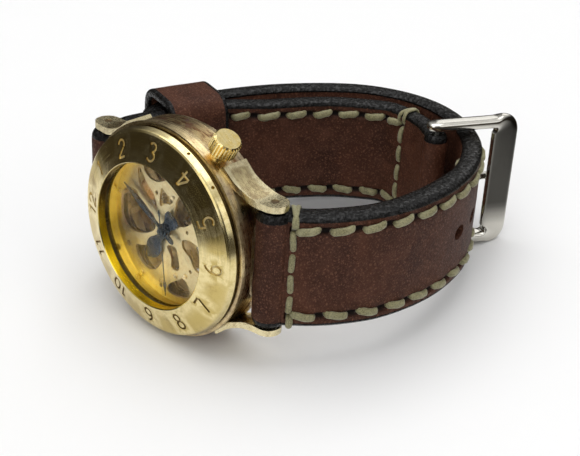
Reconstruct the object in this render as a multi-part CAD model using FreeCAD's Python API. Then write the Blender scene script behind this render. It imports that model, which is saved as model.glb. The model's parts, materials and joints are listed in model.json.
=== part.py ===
import FreeCAD, Part
import math
import os
from FreeCAD import Vector, Matrix

# Skeleton wristwatch, buckled into a loop and lying on its side.
# Watch frame while modelling: X runs from the dial into the case, Y to 12 o'clock, Z to 3 o'clock.
# Clock angles are degrees from 12 towards 3, so a point is (x, r cos, r sin).

# ---- driving dimensions, mm ----
bezelR = 19.5          # outer front edge of the bezel
openingR = 13.8        # dial opening in the bezel
strapW = 22.2          # strap width
strapT = 4.2           # thickness of one strap layer
barY = 22.3            # lug bar distance from the case axis
barX = 7.5             # lug bar depth behind the bezel edge
barR = 0.75            # radius of the lug bars and the buckle bar
caseDepth = 9.9        # back face of the case band
backT = 1.5            # screwed back plate
bandR = 20.2           # widest radius of the case band
loopReach = 68.6       # far side of the outer strap layer
buckleSpan = 15.0      # buckle pin to the middle of the outer bar
crownR = 2.6           # crown radius
crownClock = 120.0     # the crown sits at 4 o'clock
stemX = 5.3            # depth of the winding stem
layGap = 0.7           # air between the two strap layers

# ---- clearances and small sizes ----
runFit = 0.05          # radial play of turning parts
air = 0.3              # gap between moving parts
coneRise = 1.95        # how far the bezel's inner edge stands forward
rollR = 3.2            # leather roll round a lug bar
lugT = 1.2             # lug strip thickness
lugGap = 0.5           # between a lug and the end of its leather roll
lugTipR = 2.5          # rounded lug end
wallR = 18.2           # inside radius of the case band
plateR = 15.2          # movement plate radius
dialX = 2.9            # front face of the skeleton dial plate
dialT = 0.5
mainX = 4.6            # front face of the main plate
bridgeX = 8.75         # front face of the bridges
bridgeT = 0.6
handX = {"hour": 2.25, "minute": 1.68, "seconds": 1.2}
clockHour, clockMinute, clockSecond = 302.4, 28.4, 262.0

# wheel sizes: outer radius of each toothed wheel
centreR, fourthR, escapeR = 4.3, 4.3, 2.0
pinionR = {"centre": 1.4, "third": 0.7, "fourth": 0.75, "escape": 0.5}
thirdR = centreR + pinionR["third"] - pinionR["fourth"]
teeth = {"centre": 75, "third": 80, "fourth": 60, "pinion": 10, "escape": 8, "barrel": 80, "barrelPinion": 12,
         "hour": 40, "minute": 36, "minutePinion": 10, "cannon": 12, "crown": 24, "idler": 34, "ratchet": 48,
         "winding": 14}
hourR, minuteR, cannonR, minutePinionR = 3.1, 2.68, 1.2, 0.78
barrelR, ratchetR, crownWheelR = 5.1, 4.4, 2.4
balanceR = 3.7
mesh = 0.06            # gap between tooth tips of neighbouring wheels

X = Vector(1, 0, 0)
Z = Vector(0, 0, 1)


def at(clock, r, x=0.0):
    a = math.radians(clock)
    return Vector(x, r * math.cos(a), r * math.sin(a))


def disc(x0, x1, r, c=(0, 0), bore=0.0):
    base = Vector(x0, c[0], c[1])
    s = Part.makeCylinder(r, x1 - x0, base, X)
    if bore:
        s = s.cut(Part.makeCylinder(bore, x1 - x0, base, X))
    return s


def turned(profile):
    pts = [Vector(x, r, 0) for x, r in profile]
    return Part.Face(Part.makePolygon(pts + [pts[0]])).revolve(Vector(), X, 360)


def slab(points, x0, x1):
    pts = [Vector(x0, y, z) for y, z in points]
    return Part.Face(Part.makePolygon(pts + [pts[0]])).extrude(X * (x1 - x0))


def blob(polar, x0, x1):
    curve = Part.BSplineCurve()
    curve.interpolate([at(c, r, x0) for c, r in polar], PeriodicFlag=True)
    return Part.Face(Part.Wire(curve.toShape())).extrude(X * (x1 - x0))


def spoke(x0, x1, c, angle, r0, r1, w0, w1):
    u = (math.cos(math.radians(angle)), math.sin(math.radians(angle)))
    pts = []
    for r, w in ((r0, -w0), (r1, -w1), (r1, w1), (r0, w0)):
        pts.append((c[0] + u[0] * r - u[1] * w / 2, c[1] + u[1] * r + u[0] * w / 2))
    return slab(pts, x0, x1)


def wheel(x0, x1, r, teeth, bore, c=(0, 0), depth=0.3, arms=0, rim=0.55, hub=0.9):
    pts = []
    for i in range(teeth):
        for f, rr in ((0.0, r - depth), (0.3, r - depth), (0.45, r), (0.85, r)):
            a = 2 * math.pi * (i + f) / teeth
            pts.append((c[0] + rr * math.cos(a), c[1] + rr * math.sin(a)))
    s = slab(pts, x0, x1)
    if bore:
        s = s.cut(disc(x0, x1, bore, c))
    if arms:
        ring = disc(x0, x1, r - depth - rim, c).cut(disc(x0, x1, hub, c))
        for i in range(arms):
            ring = ring.cut(spoke(x0, x1, c, 360.0 * i / arms, 0, r, 0.7, 0.5))
        s = s.cut(ring)
    return s


def fuse(shapes):
    s = shapes[0].multiFuse(shapes[1:]) if len(shapes) > 1 else shapes[0]
    return s.removeSplitter()


def yz(v):
    return (v.y, v.z)


# ---- case ----
ringX = 2.1            # bezel back face, where the case ring starts
bandX = 3.1            # where the case band starts
crystalX = -0.3


def digitStrokes(ch):
    def arc(cx, cy, rx, ry, a0, a1, n=12):
        span = [math.radians(a0 + (a1 - a0) * i / n) for i in range(n + 1)]
        return [(cx + rx * math.cos(a), cy + ry * math.sin(a)) for a in span]
    table = {
        "0": [arc(0, 0, 0.27, 0.5, 0, 360)],
        "1": [[(0.04, 0.5), (0.04, -0.5)], [(-0.16, 0.3), (0.02, 0.46)]],
        "2": [arc(0, 0.22, 0.27, 0.28, 170, -30), [(0.21, 0.05), (-0.24, -0.44)],
              [(-0.27, -0.48), (0.3, -0.48)]],
        "3": [arc(-0.02, 0.25, 0.25, 0.25, 150, -80), arc(-0.02, -0.24, 0.29, 0.26, 80, -150)],
        "4": [[(0.12, 0.5), (0.12, -0.5)], [(0.06, 0.46), (-0.3, -0.14)], [(-0.32, -0.2), (0.32, -0.2)]],
        "5": [[(0.24, 0.48), (-0.2, 0.48)], [(-0.22, 0.4), (-0.25, 0.06)],
              arc(-0.02, -0.17, 0.28, 0.31, 120, -140)],
        "6": [arc(0, -0.2, 0.27, 0.29, 0, 360), arc(0.3, -0.15, 0.57, 0.66, 105, 172, 8)],
        "7": [[(-0.28, 0.48), (0.24, 0.48)], [(0.26, 0.42), (-0.08, -0.5)]],
        "8": [arc(0, 0.25, 0.21, 0.24, 0, 360), arc(0, -0.24, 0.27, 0.26, 0, 360)],
    }
    table["9"] = [[(-u, -v) for u, v in s] for s in table["6"]]
    return table[ch]


def strokePrism(pts, w, place):
    loop = math.hypot(pts[0][0] - pts[-1][0], pts[0][1] - pts[-1][1]) < 1e-6
    if loop:
        pts = pts[:-1]
    n = len(pts)
    left, right = [], []
    for i, (u, v) in enumerate(pts):
        a = pts[(i - 1) % n] if loop or i else pts[0]
        b = pts[(i + 1) % n] if loop or i < n - 1 else pts[-1]
        d = math.hypot(b[0] - a[0], b[1] - a[1])
        nu, nv = -(b[1] - a[1]) / d * w / 2, (b[0] - a[0]) / d * w / 2
        left.append((u + nu, v + nv))
        right.append((u - nu, v - nv))
    x0, x1 = -coneRise - 0.5, 1.5
    if not loop:
        return slab([place(p) for p in left + right[::-1]], x0, x1)
    one = slab([place(p) for p in left], x0, x1)
    two = slab([place(p) for p in right], x0, x1)
    return one.cut(two) if one.Volume > two.Volume else two.cut(one)


def numerals():
    high, ringR, w = 3.1, 16.5, 0.4
    prisms = []
    for hour in range(1, 13):
        a = math.radians(30 * hour)
        out = 1 if hour in (10, 11, 12, 1, 2, 3) else -1
        up = (out * math.cos(a), out * math.sin(a))
        side = (-up[1], up[0])
        word = str(hour)
        for k, ch in enumerate(word):
            off = (k - (len(word) - 1) / 2) * 2.0 / high
            for s in digitStrokes(ch):
                def place(p, off=off):
                    u, v = (p[0] + off) * high, p[1] * high
                    return (ringR * math.cos(a) + side[0] * u + up[0] * v,
                            ringR * math.sin(a) + side[1] * u + up[1] * v)
                prisms.append(strokePrism(s, w / high, place))
    return Part.makeCompound(prisms)


def coneX(r):
    return -coneRise + (r - openingR) * coneRise / (bezelR - openingR)


def makeBezel():
    seat = openingR + 0.9
    body = turned([(coneX(openingR) + 0.15, openingR), (coneX(openingR), openingR + 0.2),
                   (coneX(bezelR - 0.35), bezelR - 0.35), (0.1, bezelR - 0.05), (0.35, bezelR + 0.1),
                   (1.3, bezelR + 0.4), (1.5, bezelR + 0.3), (1.6, bezelR - 0.15), (ringX, bezelR - 0.15),
                   (ringX, seat), (crystalX, seat), (crystalX, openingR)])
    depth = 0.28
    skin = turned([(coneX(openingR + 0.4), openingR + 0.4), (coneX(bezelR - 0.4), bezelR - 0.4),
                   (coneX(bezelR - 0.4) + depth, bezelR - 0.4),
                   (coneX(openingR + 0.4) + depth, openingR + 0.4)])
    skin = skin.fuse(turned([(-4, openingR + 0.4), (-4, bezelR - 0.4), (coneX(bezelR - 0.4), bezelR - 0.4),
                             (coneX(openingR + 0.4), openingR + 0.4)]))
    cuts = [p.common(skin) for p in numerals().Solids]
    marks = [Part.makeCylinder(0.3, 0.8, at(c, bezelR + 0.6, 0.85), at(c, -1)) for c in (112, 134)]
    return body.cut(cuts + marks)


def makeCaseRing():
    return turned([(ringX, plateR - 0.3), (ringX, bandR - 0.35), (ringX + 0.15, bandR + 0.25),
                   (ringX + 0.65, bandR + 0.3), (ringX + 0.75, bandR - 0.35), (bandX, bandR - 0.35),
                   (bandX, plateR - 0.3)])


def bandOutline(grow=0.0):
    return [(bandX, bandR - 0.25 + grow), (4.4, bandR - 0.1 + grow), (7.0, bandR + grow),
            (caseDepth - 1.0, bandR - 0.05 + grow), (caseDepth - 0.3, bandR - 0.3 + grow),
            (caseDepth, bandR - 0.7 + grow)]


def radial(clock, r0, r1, rad, x=stemX):
    return Part.makeCylinder(rad, r1 - r0, at(clock, r0, x), at(clock, 1))


tubeR = 1.25
stemR = 0.5


def makeCaseBand():
    s = turned(bandOutline() + [(caseDepth, wallR), (bandX, wallR)])
    room = strapW + 2 * (air + 0.1)
    scallops = [Part.makeCylinder(rollR + 0.4, room, Vector(barX, y, -room / 2)) for y in (barY, -barY)]
    return s.cut([radial(crownClock, wallR - 1, bandR + 1, tubeR)] + scallops)


def makeCrownTube():
    s = radial(crownClock, wallR, bandR + 0.7, tubeR)
    return s.cut(radial(crownClock, wallR - 1, bandR + 1, stemR + runFit))


def makeLugs():
    outR = bandR + 0.9
    tipZ = strapW / 2 + lugGap + lugT
    root = [(outR * math.sin(math.radians(f)), outR * math.cos(math.radians(f))) for f in (37, 39, 41, 44)]
    outer = root + [(16.6, 13.95), (18.9, tipZ + 0.28), (barY, tipZ), (barY + lugTipR, tipZ)]
    inner = [(barY + lugTipR, tipZ - lugT), (barY, tipZ - lugT), (18.9, tipZ - lugT + 0.2), (16.6, 12.75),
             (13.6, 14.0), (11.8, 16.0)]
    curves = []
    for side in (outer, inner):
        c = Part.BSplineCurve()
        c.interpolate([Vector(0, -y, z) for y, z in side])
        curves.append(c.toShape())
    ends = [Part.makeLine(Vector(0, -outer[-1][0], outer[-1][1]), Vector(0, -inner[0][0], inner[0][1])),
            Part.makeLine(Vector(0, -inner[-1][0], inner[-1][1]), Vector(0, -outer[0][0], outer[0][1]))]
    prof = Part.Face(Part.Wire(Part.__sortEdges__([curves[0], ends[0], curves[1], ends[1]])))
    strip = prof.extrude(X * 14)
    waist, wide = lugTipR + 0.45, lugTipR + 1.4
    back = caseDepth - 0.3 - barX
    sides = [(back, 9), (back, 15.0), (lugTipR, 18.5), (lugTipR, barY), (-lugTipR, barY), (-waist, 17.5),
             (-wide, 9), (back, 9)]
    plan = Part.Face(Part.makePolygon([Vector(barX + a, -y, 5) for a, y in sides])).extrude(Z * 20)
    strip = strip.common(plan.fuse(Part.makeCylinder(lugTipR, 20, Vector(barX, -barY, 5))))
    core = turned([(bandX - 3, 0.1)] + [(bandX - 3, bandR)] + bandOutline() + [(14, bandR - 0.7), (14, 0.1)])
    strip = strip.cut(core).cut(turned([(0, 0.1), (0, bandR + 3), (bandX, bandR + 3), (bandX, 0.1)]))
    strip = strip.cut(Part.makeCylinder(barR, 30, Vector(barX, -barY, 0)))
    lugs = []
    for sy in (1, -1):
        for sz in (1, -1):
            m = Matrix()
            m.scale(1, sy, sz)
            lugs.append(strip.transformGeometry(m) if (sy, sz) != (1, 1) else strip)
    return lugs


def makeBars():
    half = strapW / 2 + lugGap + lugT - 0.1
    out = {}
    for name, y in (("lug_bar_12", barY), ("lug_bar_6", -barY)):
        bar = Part.makeCylinder(barR, 2 * half, Vector(barX, y, -half), Z)
        out[name] = bar
    return out


crystalT = 1.1


def makeCaseParts():
    rear = caseDepth + backT
    glassSeat = disc(caseDepth, rear - 0.7, 13.8)
    seat = openingR + 0.9
    lensR = seat - 0.35
    parts = {
        "bezel": makeBezel(),
        "case_ring": makeCaseRing(),
        "case_band": makeCaseBand(),
        "crown_tube": makeCrownTube(),
        "crystal": turned([(crystalX, 0), (crystalX, lensR - 0.25), (crystalX + 0.25, lensR),
                           (crystalX + crystalT, lensR), (crystalX + crystalT, 0)]),
        "crystal_gasket": disc(crystalX, crystalX + crystalT, seat, bore=lensR),
        "inner_ring": turned([(crystalX + crystalT, lensR - 0.5), (crystalX + crystalT, seat), (dialX, seat),
                              (dialX, seat - 0.35)]),
        "movement_ring": disc(bandX, bridgeX + bridgeT, wallR, bore=plateR)
        .cut(radial(crownClock, plateR - 1, wallR + 1, stemR + 0.4)),
        "case_back": turned([(caseDepth, 13.0), (caseDepth, 19.3), (rear - 0.3, 19.0), (rear, 18.6),
                             (rear, 14.6), (rear - 0.4, 14.3), (rear - 0.5, 13.0)]).cut(glassSeat),
        "back_glass": glassSeat,
    }
    notches = [Part.makeBox(1, 1.6, 1.6, Vector(rear - 0.4, -0.8, 15.6)) for _ in range(6)]
    for i, n in enumerate(notches):
        n.rotate(Vector(), X, 60 * i + 30)
    parts["case_back"] = parts["case_back"].cut(notches)
    for name, s in zip(("lug_6_up", "lug_6_down", "lug_12_up", "lug_12_down"), makeLugs()):
        parts[name] = s
    parts.update(makeBars())
    return parts


# ---- movement layout: centres as (y, z) ----
barrelC = yz(at(20, barrelR + pinionR["centre"] + mesh))
thirdC = yz(at(250, centreR + pinionR["third"] + mesh))
escapeC = yz(at(174, fourthR + pinionR["escape"] + mesh))
balanceR0 = 10.3        # balance staff from the centre
escapeAt = fourthR + pinionR["escape"] + mesh
balanceC = yz(at(180, balanceR0))
palletC = yz(at(178, escapeAt + 2.8))
crownWheelC = yz(at(crownClock, 10.2))
minuteWheelC = yz(at(75, hourR + minutePinionR + mesh))
idlerSpan = math.hypot(crownWheelC[0] - barrelC[0], crownWheelC[1] - barrelC[1])
idlerR = (idlerSpan - crownWheelR - ratchetR - 2 * mesh) / 2
idlerC = tuple(crownWheelC[k] + (barrelC[k] - crownWheelC[k]) * (crownWheelR + idlerR + mesh) / idlerSpan
               for k in (0, 1))
clickC = (barrelC[0] + 4.6, barrelC[1] + 4.4)
pivotR = 0.25
arbors = {"barrel": (barrelC, 0.7), "third": (thirdC, pivotR), "escape": (escapeC, pivotR),
          "balance": (balanceC, pivotR), "idler": (idlerC, 0.5), "crown_wheel": (crownWheelC, 0.5)}


def makeDialPlate():
    x0, x1 = dialX, dialX + dialT
    s = disc(x0, x1, plateR - 0.35).cut(disc(x0, x1, 1.3))
    windows = [
        [(57, 12.3), (58, 10.3), (66, 9.2), (84, 9.4), (96, 11.2), (84, 12.6), (70, 12.9)],
        [(78, 7.9), (70, 6.2), (66, 4.4), (82, 4.9), (100, 5.6), (104, 7.6), (91, 6.9)],
        [(122, 3.2), (112, 5.6), (112, 8.4), (128, 9.6), (146, 8.8), (152, 6.6), (146, 3.6)],
        [(186, 4.4), (180, 7.2), (190, 10.4), (206, 11.4), (214, 9.4), (208, 7.0), (204, 4.6)],
        [(230, 3.6), (238, 6.6), (246, 8.0), (258, 7.4), (256, 5.4), (268, 3.4)],
        [(284, 4.2), (280, 7.6), (290, 10.6), (306, 11.8), (322, 10.8), (316, 8.0), (322, 4.6), (304, 3.4)],
        [(338, 3.6), (334, 8.4), (344, 12.2), (2, 12.9), (20, 12.2), (28, 9.6), (16, 7.2), (24, 4.4),
         (0, 3.2)],
        [(40, 4.0), (38, 7.4), (42, 11.0), (50, 12.6), (52, 9.2), (56, 6.0)],
        [(148, 10.8), (146, 13.0), (160, 13.2), (172, 12.6), (170, 10.2), (158, 9.6)],
        [(238, 10.2), (240, 12.9), (256, 13.1), (268, 12.4), (262, 10.6), (250, 9.8)],
    ]
    s = s.cut([blob(w, x0 - 0.1, x1 + 0.1) for w in windows])
    holes = [(65, 7.0, 0.4), (165, 5.6, 0.4), (223, 9.0, 0.4), (276, 12.3, 0.45), (110, 12.4, 0.6),
             (218, 12.8, 0.6), (326, 12.8, 0.6)]
    return s.cut([disc(x0 - 0.1, x1 + 0.1, r, yz(at(c, q))) for c, q, r in holes])


def makeMainPlate():
    x0, x1 = mainX, mainX + 0.8
    s = disc(x0, x1, plateR).cut(disc(x0, x1, 1.0))
    windows = [
        [(336, 4.2), (330, 9.0), (340, 12.4), (0, 13.0), (30, 12.8), (46, 11.0), (40, 8.4), (46, 4.6),
         (10, 3.6)],
        [(64, 8.4), (62, 12.2), (84, 12.8), (100, 11.4), (96, 8.6), (80, 7.6)],
        [(140, 3.2), (140, 7.0), (152, 9.4), (160, 12.6), (180, 13.2), (200, 12.4), (206, 8.6), (196, 6.4),
         (184, 7.9), (168, 8.4), (160, 6.0), (156, 3.2)],
        [(222, 7.6), (224, 12.0), (246, 12.8), (266, 12.0), (262, 8.2), (246, 7.4)],
        [(284, 3.4), (278, 9.0), (290, 12.2), (312, 12.4), (318, 8.0), (308, 3.8)],
    ]
    s = s.cut([blob(w, x0 - 0.1, x1 + 0.1) for w in windows])
    s = s.cut(radial(crownClock, 6.8, 16, 1.75))
    holes = [disc(x0, x1, jewelR, c) for c, r in arbors.values() if r == pivotR]
    holes += [disc(x0, x1, r + runFit, c) for c, r in arbors.values() if r != pivotR]
    holes.append(disc(x0, x1, jewelR, palletC))
    return s.cut(holes)


jewelR = 0.65


def bridge(hull, posts, bores, windows):
    s = blob(hull, bridgeX, bridgeX + bridgeT).common(disc(bridgeX, bridgeX + bridgeT, plateR - 0.05))
    if windows:
        s = s.cut([blob(w, bridgeX - 0.1, bridgeX + bridgeT + 0.1) for w in windows])
    s = s.cut([disc(bridgeX, bridgeX + bridgeT, r, c) for c, r in bores])
    return fuse([s] + [disc(mainX + 0.8, bridgeX, 0.75, yz(at(c, q))) for c, q in posts])


bridgePosts = {"barrel_bridge": [(350, 13.9), (48, 13.9), (92, 13.9)],
               "train_bridge": [(212, 13.9), (300, 13.9)],
               "balance_cock": [(150, 13.9)]}


def makeBridges():
    out = {}
    out["barrel_bridge"] = bridge(
        [(340, 14.6), (352, 15.6), (20, 15.6), (50, 15.6), (90, 15.6), (112, 15.4), (124, 13.0), (128, 9.4),
         (112, 7.6), (60, 3.2), (350, 3.4), (336, 9.0)],
        bridgePosts["barrel_bridge"],
        [(barrelC, 0.7 + runFit), (idlerC, 0.5 + runFit), (crownWheelC, 0.5 + runFit)],
        [[(60, 11.0), (72, 12.4), (88, 12.0), (88, 10.0), (72, 9.4)],
         [(352, 9.4), (356, 12.6), (14, 12.8), (34, 11.8), (26, 9.8), (8, 9.4)]])
    out["train_bridge"] = bridge(
        [(200, 14.8), (214, 15.6), (256, 15.6), (300, 15.6), (316, 14.4), (312, 8.0), (300, 2.6), (120, 1.8),
         (165, 3.2), (170, 5.2), (186, 5.4), (206, 6.4)],
        bridgePosts["train_bridge"],
        [((0, 0), jewelR), (thirdC, jewelR), (escapeC, jewelR)],
        [[(228, 9.0), (232, 12.6), (256, 13.0), (278, 12.0), (276, 8.4), (254, 8.0)]])
    out["balance_cock"] = bridge(
        [(140, 15.2), (152, 15.6), (164, 15.2), (170, 12.2), (184, 11.4), (188, 9.6), (180, 8.3), (170, 8.7),
         (162, 11.4), (146, 12.6)],
        bridgePosts["balance_cock"], [(balanceC, jewelR)], [])
    return out


def makeTrain():
    p = {}
    x = {"motion": 3.65, "minute": 4.1, "centre": 5.7, "fourth": 7.72, "third": 8.2}
    play = pivotR + runFit
    pinion = teeth["pinion"]
    p["centre_wheel"] = fuse([
        wheel(x["centre"], x["centre"] + 0.3, centreR, teeth["centre"], 0.5, arms=5),
        wheel(6.15, 7.3, pinionR["centre"], teeth["barrelPinion"], 0.5, depth=0.35),
        disc(x["minute"] + 0.25, 7.3, 0.62, bore=play)]).cut(disc(4, 7.5, play))
    p["cannon_pinion"] = fuse([disc(handX["minute"] - 0.05, x["minute"] + 0.25, 0.62),
                               wheel(x["minute"] - 0.05, x["minute"] + 0.25, cannonR, teeth["cannon"], 0,
                                     depth=0.25)]).cut(disc(1, 5, play))
    hour = wheel(x["motion"], x["motion"] + 0.2, hourR, teeth["hour"], 0.68, arms=4, hub=1.2)
    hour = hour.fuse(disc(handX["hour"], x["motion"] + 0.2, 1.05))
    p["hour_wheel"] = hour.cut(disc(1, 5, 0.62 + runFit))
    mw = [wheel(x["minute"], x["minute"] + 0.2, minuteR, teeth["minute"], 0, minuteWheelC, arms=4, hub=1.0),
          wheel(x["motion"] - 0.05, x["minute"], minutePinionR, teeth["minutePinion"], 0, minuteWheelC,
                depth=0.2)]
    p["minute_wheel"] = fuse(mw).cut(disc(3, 5, play, minuteWheelC))
    p["minute_post"] = disc(x["motion"], mainX, pivotR, minuteWheelC)
    p["fourth_wheel"] = fuse([
        wheel(x["fourth"], x["fourth"] + 0.2, fourthR, teeth["fourth"], 0, arms=4, hub=0.8),
        wheel(x["third"] - 0.05, x["third"] + 0.25, pinionR["fourth"], pinion, 0, depth=0.2),
        disc(handX["seconds"] - 0.05, bridgeX + bridgeT - 0.1, pivotR)])
    p["third_wheel"] = fuse([
        wheel(x["third"], x["third"] + 0.2, thirdR, teeth["third"], 0, thirdC, arms=5),
        wheel(x["centre"] - 0.05, x["centre"] + 0.35, pinionR["third"], pinion, 0, thirdC, depth=0.2),
        disc(mainX + 0.05, bridgeX + bridgeT - 0.1, pivotR, thirdC)])
    p["escape_wheel"] = fuse([
        wheel(6.6, 6.8, escapeR, 15, 0, escapeC, depth=0.5, arms=4, rim=0.3, hub=0.5),
        wheel(7.65, 8.0, pinionR["escape"], teeth["escape"], 0, escapeC, depth=0.15),
        disc(mainX + 0.05, bridgeX + bridgeT - 0.1, pivotR, escapeC)])
    p["barrel"] = wheel(6.0, 7.35, barrelR, teeth["barrel"], 0.7 + runFit, barrelC, depth=0.35)
    p["barrel"] = p["barrel"].cut(disc(6.3, 7.1, barrelR - 0.7, barrelC, bore=0.9))
    p["ratchet_wheel"] = fuse([wheel(8.05, 8.35, ratchetR, teeth["ratchet"], 0, barrelC, depth=0.3),
                               disc(mainX + 0.05, bridgeX + bridgeT, 0.7, barrelC)])
    p["idler_wheel"] = fuse([wheel(8.05, 8.35, idlerR, teeth["idler"], 0, idlerC, depth=0.3, arms=3),
                             disc(mainX + 1.1, bridgeX + bridgeT, 0.5, idlerC)])
    p["crown_wheel"] = fuse([wheel(7.05, 8.35, crownWheelR, teeth["crown"], 0, crownWheelC, depth=0.3),
                             disc(7.05, bridgeX + bridgeT, 0.5, crownWheelC)])
    return p


def makeEscapement():
    p = {}
    b0 = 7.35
    rim = disc(b0, b0 + 0.45, balanceR, balanceC, bore=balanceR - 0.5)
    arms = [spoke(b0, b0 + 0.45, balanceC, a, 0.2, balanceR - 0.3, 0.6, 0.5) for a in (0, 120, 240)]
    screws = []
    for i in range(12):
        a = math.radians(30 * i + 15)
        d = Vector(0, math.cos(a), math.sin(a))
        start = Vector(b0 + 0.22, balanceC[0], balanceC[1]) + d * (balanceR - 0.1)
        screws.append(Part.makeCylinder(0.2, 0.35, start, d))
    p["balance_wheel"] = fuse([rim, disc(b0, b0 + 0.45, 0.7, balanceC)] + arms + screws +
                              [disc(mainX + 0.05, bridgeX + bridgeT - 0.1, pivotR, balanceC),
                               disc(6.55, 6.95, 0.55, balanceC)])
    pts = []
    for k in range(0, 85):
        a = k * 0.3
        r = 0.45 + 1.35 * k / 84.0
        pts.append((balanceC[0] + r * math.cos(a), balanceC[1] + r * math.sin(a), a))
    inner = [(y - 0.05 * math.cos(a), z - 0.05 * math.sin(a)) for y, z, a in pts]
    outer = [(y + 0.05 * math.cos(a), z + 0.05 * math.sin(a)) for y, z, a in pts]
    coil = slab(inner + outer[::-1], 8.1, 8.25)
    p["hairspring"] = coil.fuse(disc(8.0, 8.3, 0.46, balanceC)).cut(disc(7.9, 8.4, pivotR, balanceC))
    c = palletC
    lever = [disc(6.6, 6.85, 0.55, c), disc(mainX + 0.05, 7.0, pivotR, c)]
    lever.append(spoke(6.6, 6.85, c, 180, 0, 1.75, 0.55, 0.4))
    for a in (52, -52):
        lever.append(spoke(6.6, 6.85, c, a, 0, 1.15, 0.5, 0.4))
    p["pallet_fork"] = fuse(lever)
    p["pallet_cock"] = slab([(c[0] - 0.9, c[1] - 0.5), (c[0] + 0.8, c[1] - 0.5), (c[0] + 0.8, c[1] + 3.4),
                             (c[0] - 0.9, c[1] + 3.4)], 6.98, 7.12)
    p["pallet_cock"] = p["pallet_cock"].cut(disc(6.9, 7.2, pivotR + runFit, c))
    p["pallet_cock"] = fuse([p["pallet_cock"], disc(mainX + 0.8, 6.98, 0.45, (c[0], c[1] + 2.7))])
    return p


dialPosts = (12, 130, 222, 300)


def makeMovementDetails():
    p = {}
    rings = []
    for name, (c, r) in arbors.items():
        if r == pivotR:
            rings.append(disc(mainX, mainX + 0.8, jewelR, c, bore=r + runFit))
            rings.append(disc(bridgeX, bridgeX + bridgeT, jewelR, c, bore=r + runFit))
    rings.append(disc(mainX, mainX + 0.8, jewelR, palletC, bore=pivotR + runFit))
    rings.append(disc(bridgeX, bridgeX + bridgeT, jewelR, bore=pivotR + runFit))
    p["jewels"] = Part.makeCompound(rings)
    pillars = [disc(dialX + dialT, mainX, 0.9, yz(at(c, 13.6))) for c in dialPosts]
    p["dial_pillars"] = Part.makeCompound(pillars)
    heads = []
    for posts in bridgePosts.values():
        for c, q in posts:
            h = disc(bridgeX + bridgeT, bridgeX + bridgeT + 0.28, 0.7, yz(at(c, q)))
            slot = Part.makeBox(0.15, 1.5, 0.16, Vector(bridgeX + bridgeT + 0.14, at(c, q).y - 0.75,
                                                        at(c, q).z - 0.08))
            heads.append(h.cut(slot))
    p["bridge_screws"] = Part.makeCompound(heads)
    front = []
    for c, q in [(253, 9.0), (236, 9.3), (276, 11.2)] + [(c, 13.6) for c in dialPosts]:
        y, z = yz(at(c, q))
        front.append(disc(dialX - 0.28, dialX, 0.5, (y, z)).cut(
            Part.makeBox(0.12, 1.2, 0.14, Vector(dialX - 0.29, y - 0.6, z - 0.07))))
    p["dial_screws"] = Part.makeCompound(front)
    return p


def makeWinding():
    p = {}
    d = at(crownClock, 1)
    face = bandR + 4.9
    flutes = 28
    pts = []
    e1, e2 = X, d.cross(X)
    base = at(crownClock, bandR + 1.9, stemX)
    for i in range(flutes):
        for f, r in ((0.0, crownR - 0.28), (0.28, crownR), (0.72, crownR), (1.0 - 1e-3, crownR - 0.28)):
            a = 2 * math.pi * (i + f) / flutes
            pts.append(base + e1 * (r * math.cos(a)) + e2 * (r * math.sin(a)))
    ridged = Part.Face(Part.makePolygon(pts + [pts[0]])).extrude(d * (face - bandR - 1.9))
    dome = Part.makeCone(crownR + 0.6, crownR - 0.35, 0.95, at(crownClock, face - 0.95, stemX), d)
    low = Part.makeCylinder(crownR + 0.6, face - bandR - 2.85, base, d)
    crown = ridged.common(fuse([low, dome]))
    neck = Part.makeCylinder(1.95, 0.95, at(crownClock, bandR + 1.0, stemX), d)
    p["crown"] = fuse([crown, neck]).cut(radial(crownClock, bandR, bandR + 3.2, stemR))
    p["winding_stem"] = fuse([radial(crownClock, 8.2, bandR + 3.2, stemR)])
    p["clutch_wheel"] = radial(crownClock, 9.0, 11.6, 1.3).cut(radial(crownClock, 8, 12, stemR + runFit))
    groove = radial(crownClock, 10.0, 10.5, 1.4).cut(radial(crownClock, 10.0, 10.5, 1.0))
    p["clutch_wheel"] = p["clutch_wheel"].cut(groove)
    pinion = radial(crownClock, 12.0, 14.2, 1.3)
    grooves = []
    for i in range(teeth["winding"]):
        a = 2 * math.pi * i / teeth["winding"]
        o = at(crownClock, 11.9, stemX) + e1 * (1.4 * math.cos(a)) + e2 * (1.4 * math.sin(a))
        grooves.append(Part.makeCylinder(0.22, 2.5, o, d))
    p["winding_pinion"] = pinion.cut(grooves).cut(radial(crownClock, 11, 15, stemR + runFit))
    y, z = clickC
    toRim = (barrelC[0] + 3.4 - y, barrelC[1] + 3.7 - z)
    ang = math.degrees(math.atan2(toRim[1], toRim[0]))
    p["click"] = fuse([disc(8.05, 8.35, 0.6, clickC), spoke(8.05, 8.35, clickC, ang - 62, 0, 1.7, 0.6, 0.25),
                       spoke(8.05, 8.35, clickC, ang + 118, 0, 1.2, 0.6, 0.4)])
    p["click"] = p["click"].cut(disc(8, 8.4, 0.35, clickC))
    p["click_post"] = disc(8.0, bridgeX, 0.3, clickC)
    return p


# ---- hands ----
def hand(x0, points, clock, bossR, bore, t=0.24):
    s = slab(points, x0, x0 + t).fuse(disc(x0, x0 + t, bossR)).cut(disc(x0, x0 + t, bore))
    s.rotate(Vector(), X, clock)
    return s.removeSplitter()


def mirrored(half):
    return half + [(y, -z) for y, z in half[::-1]]


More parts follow.
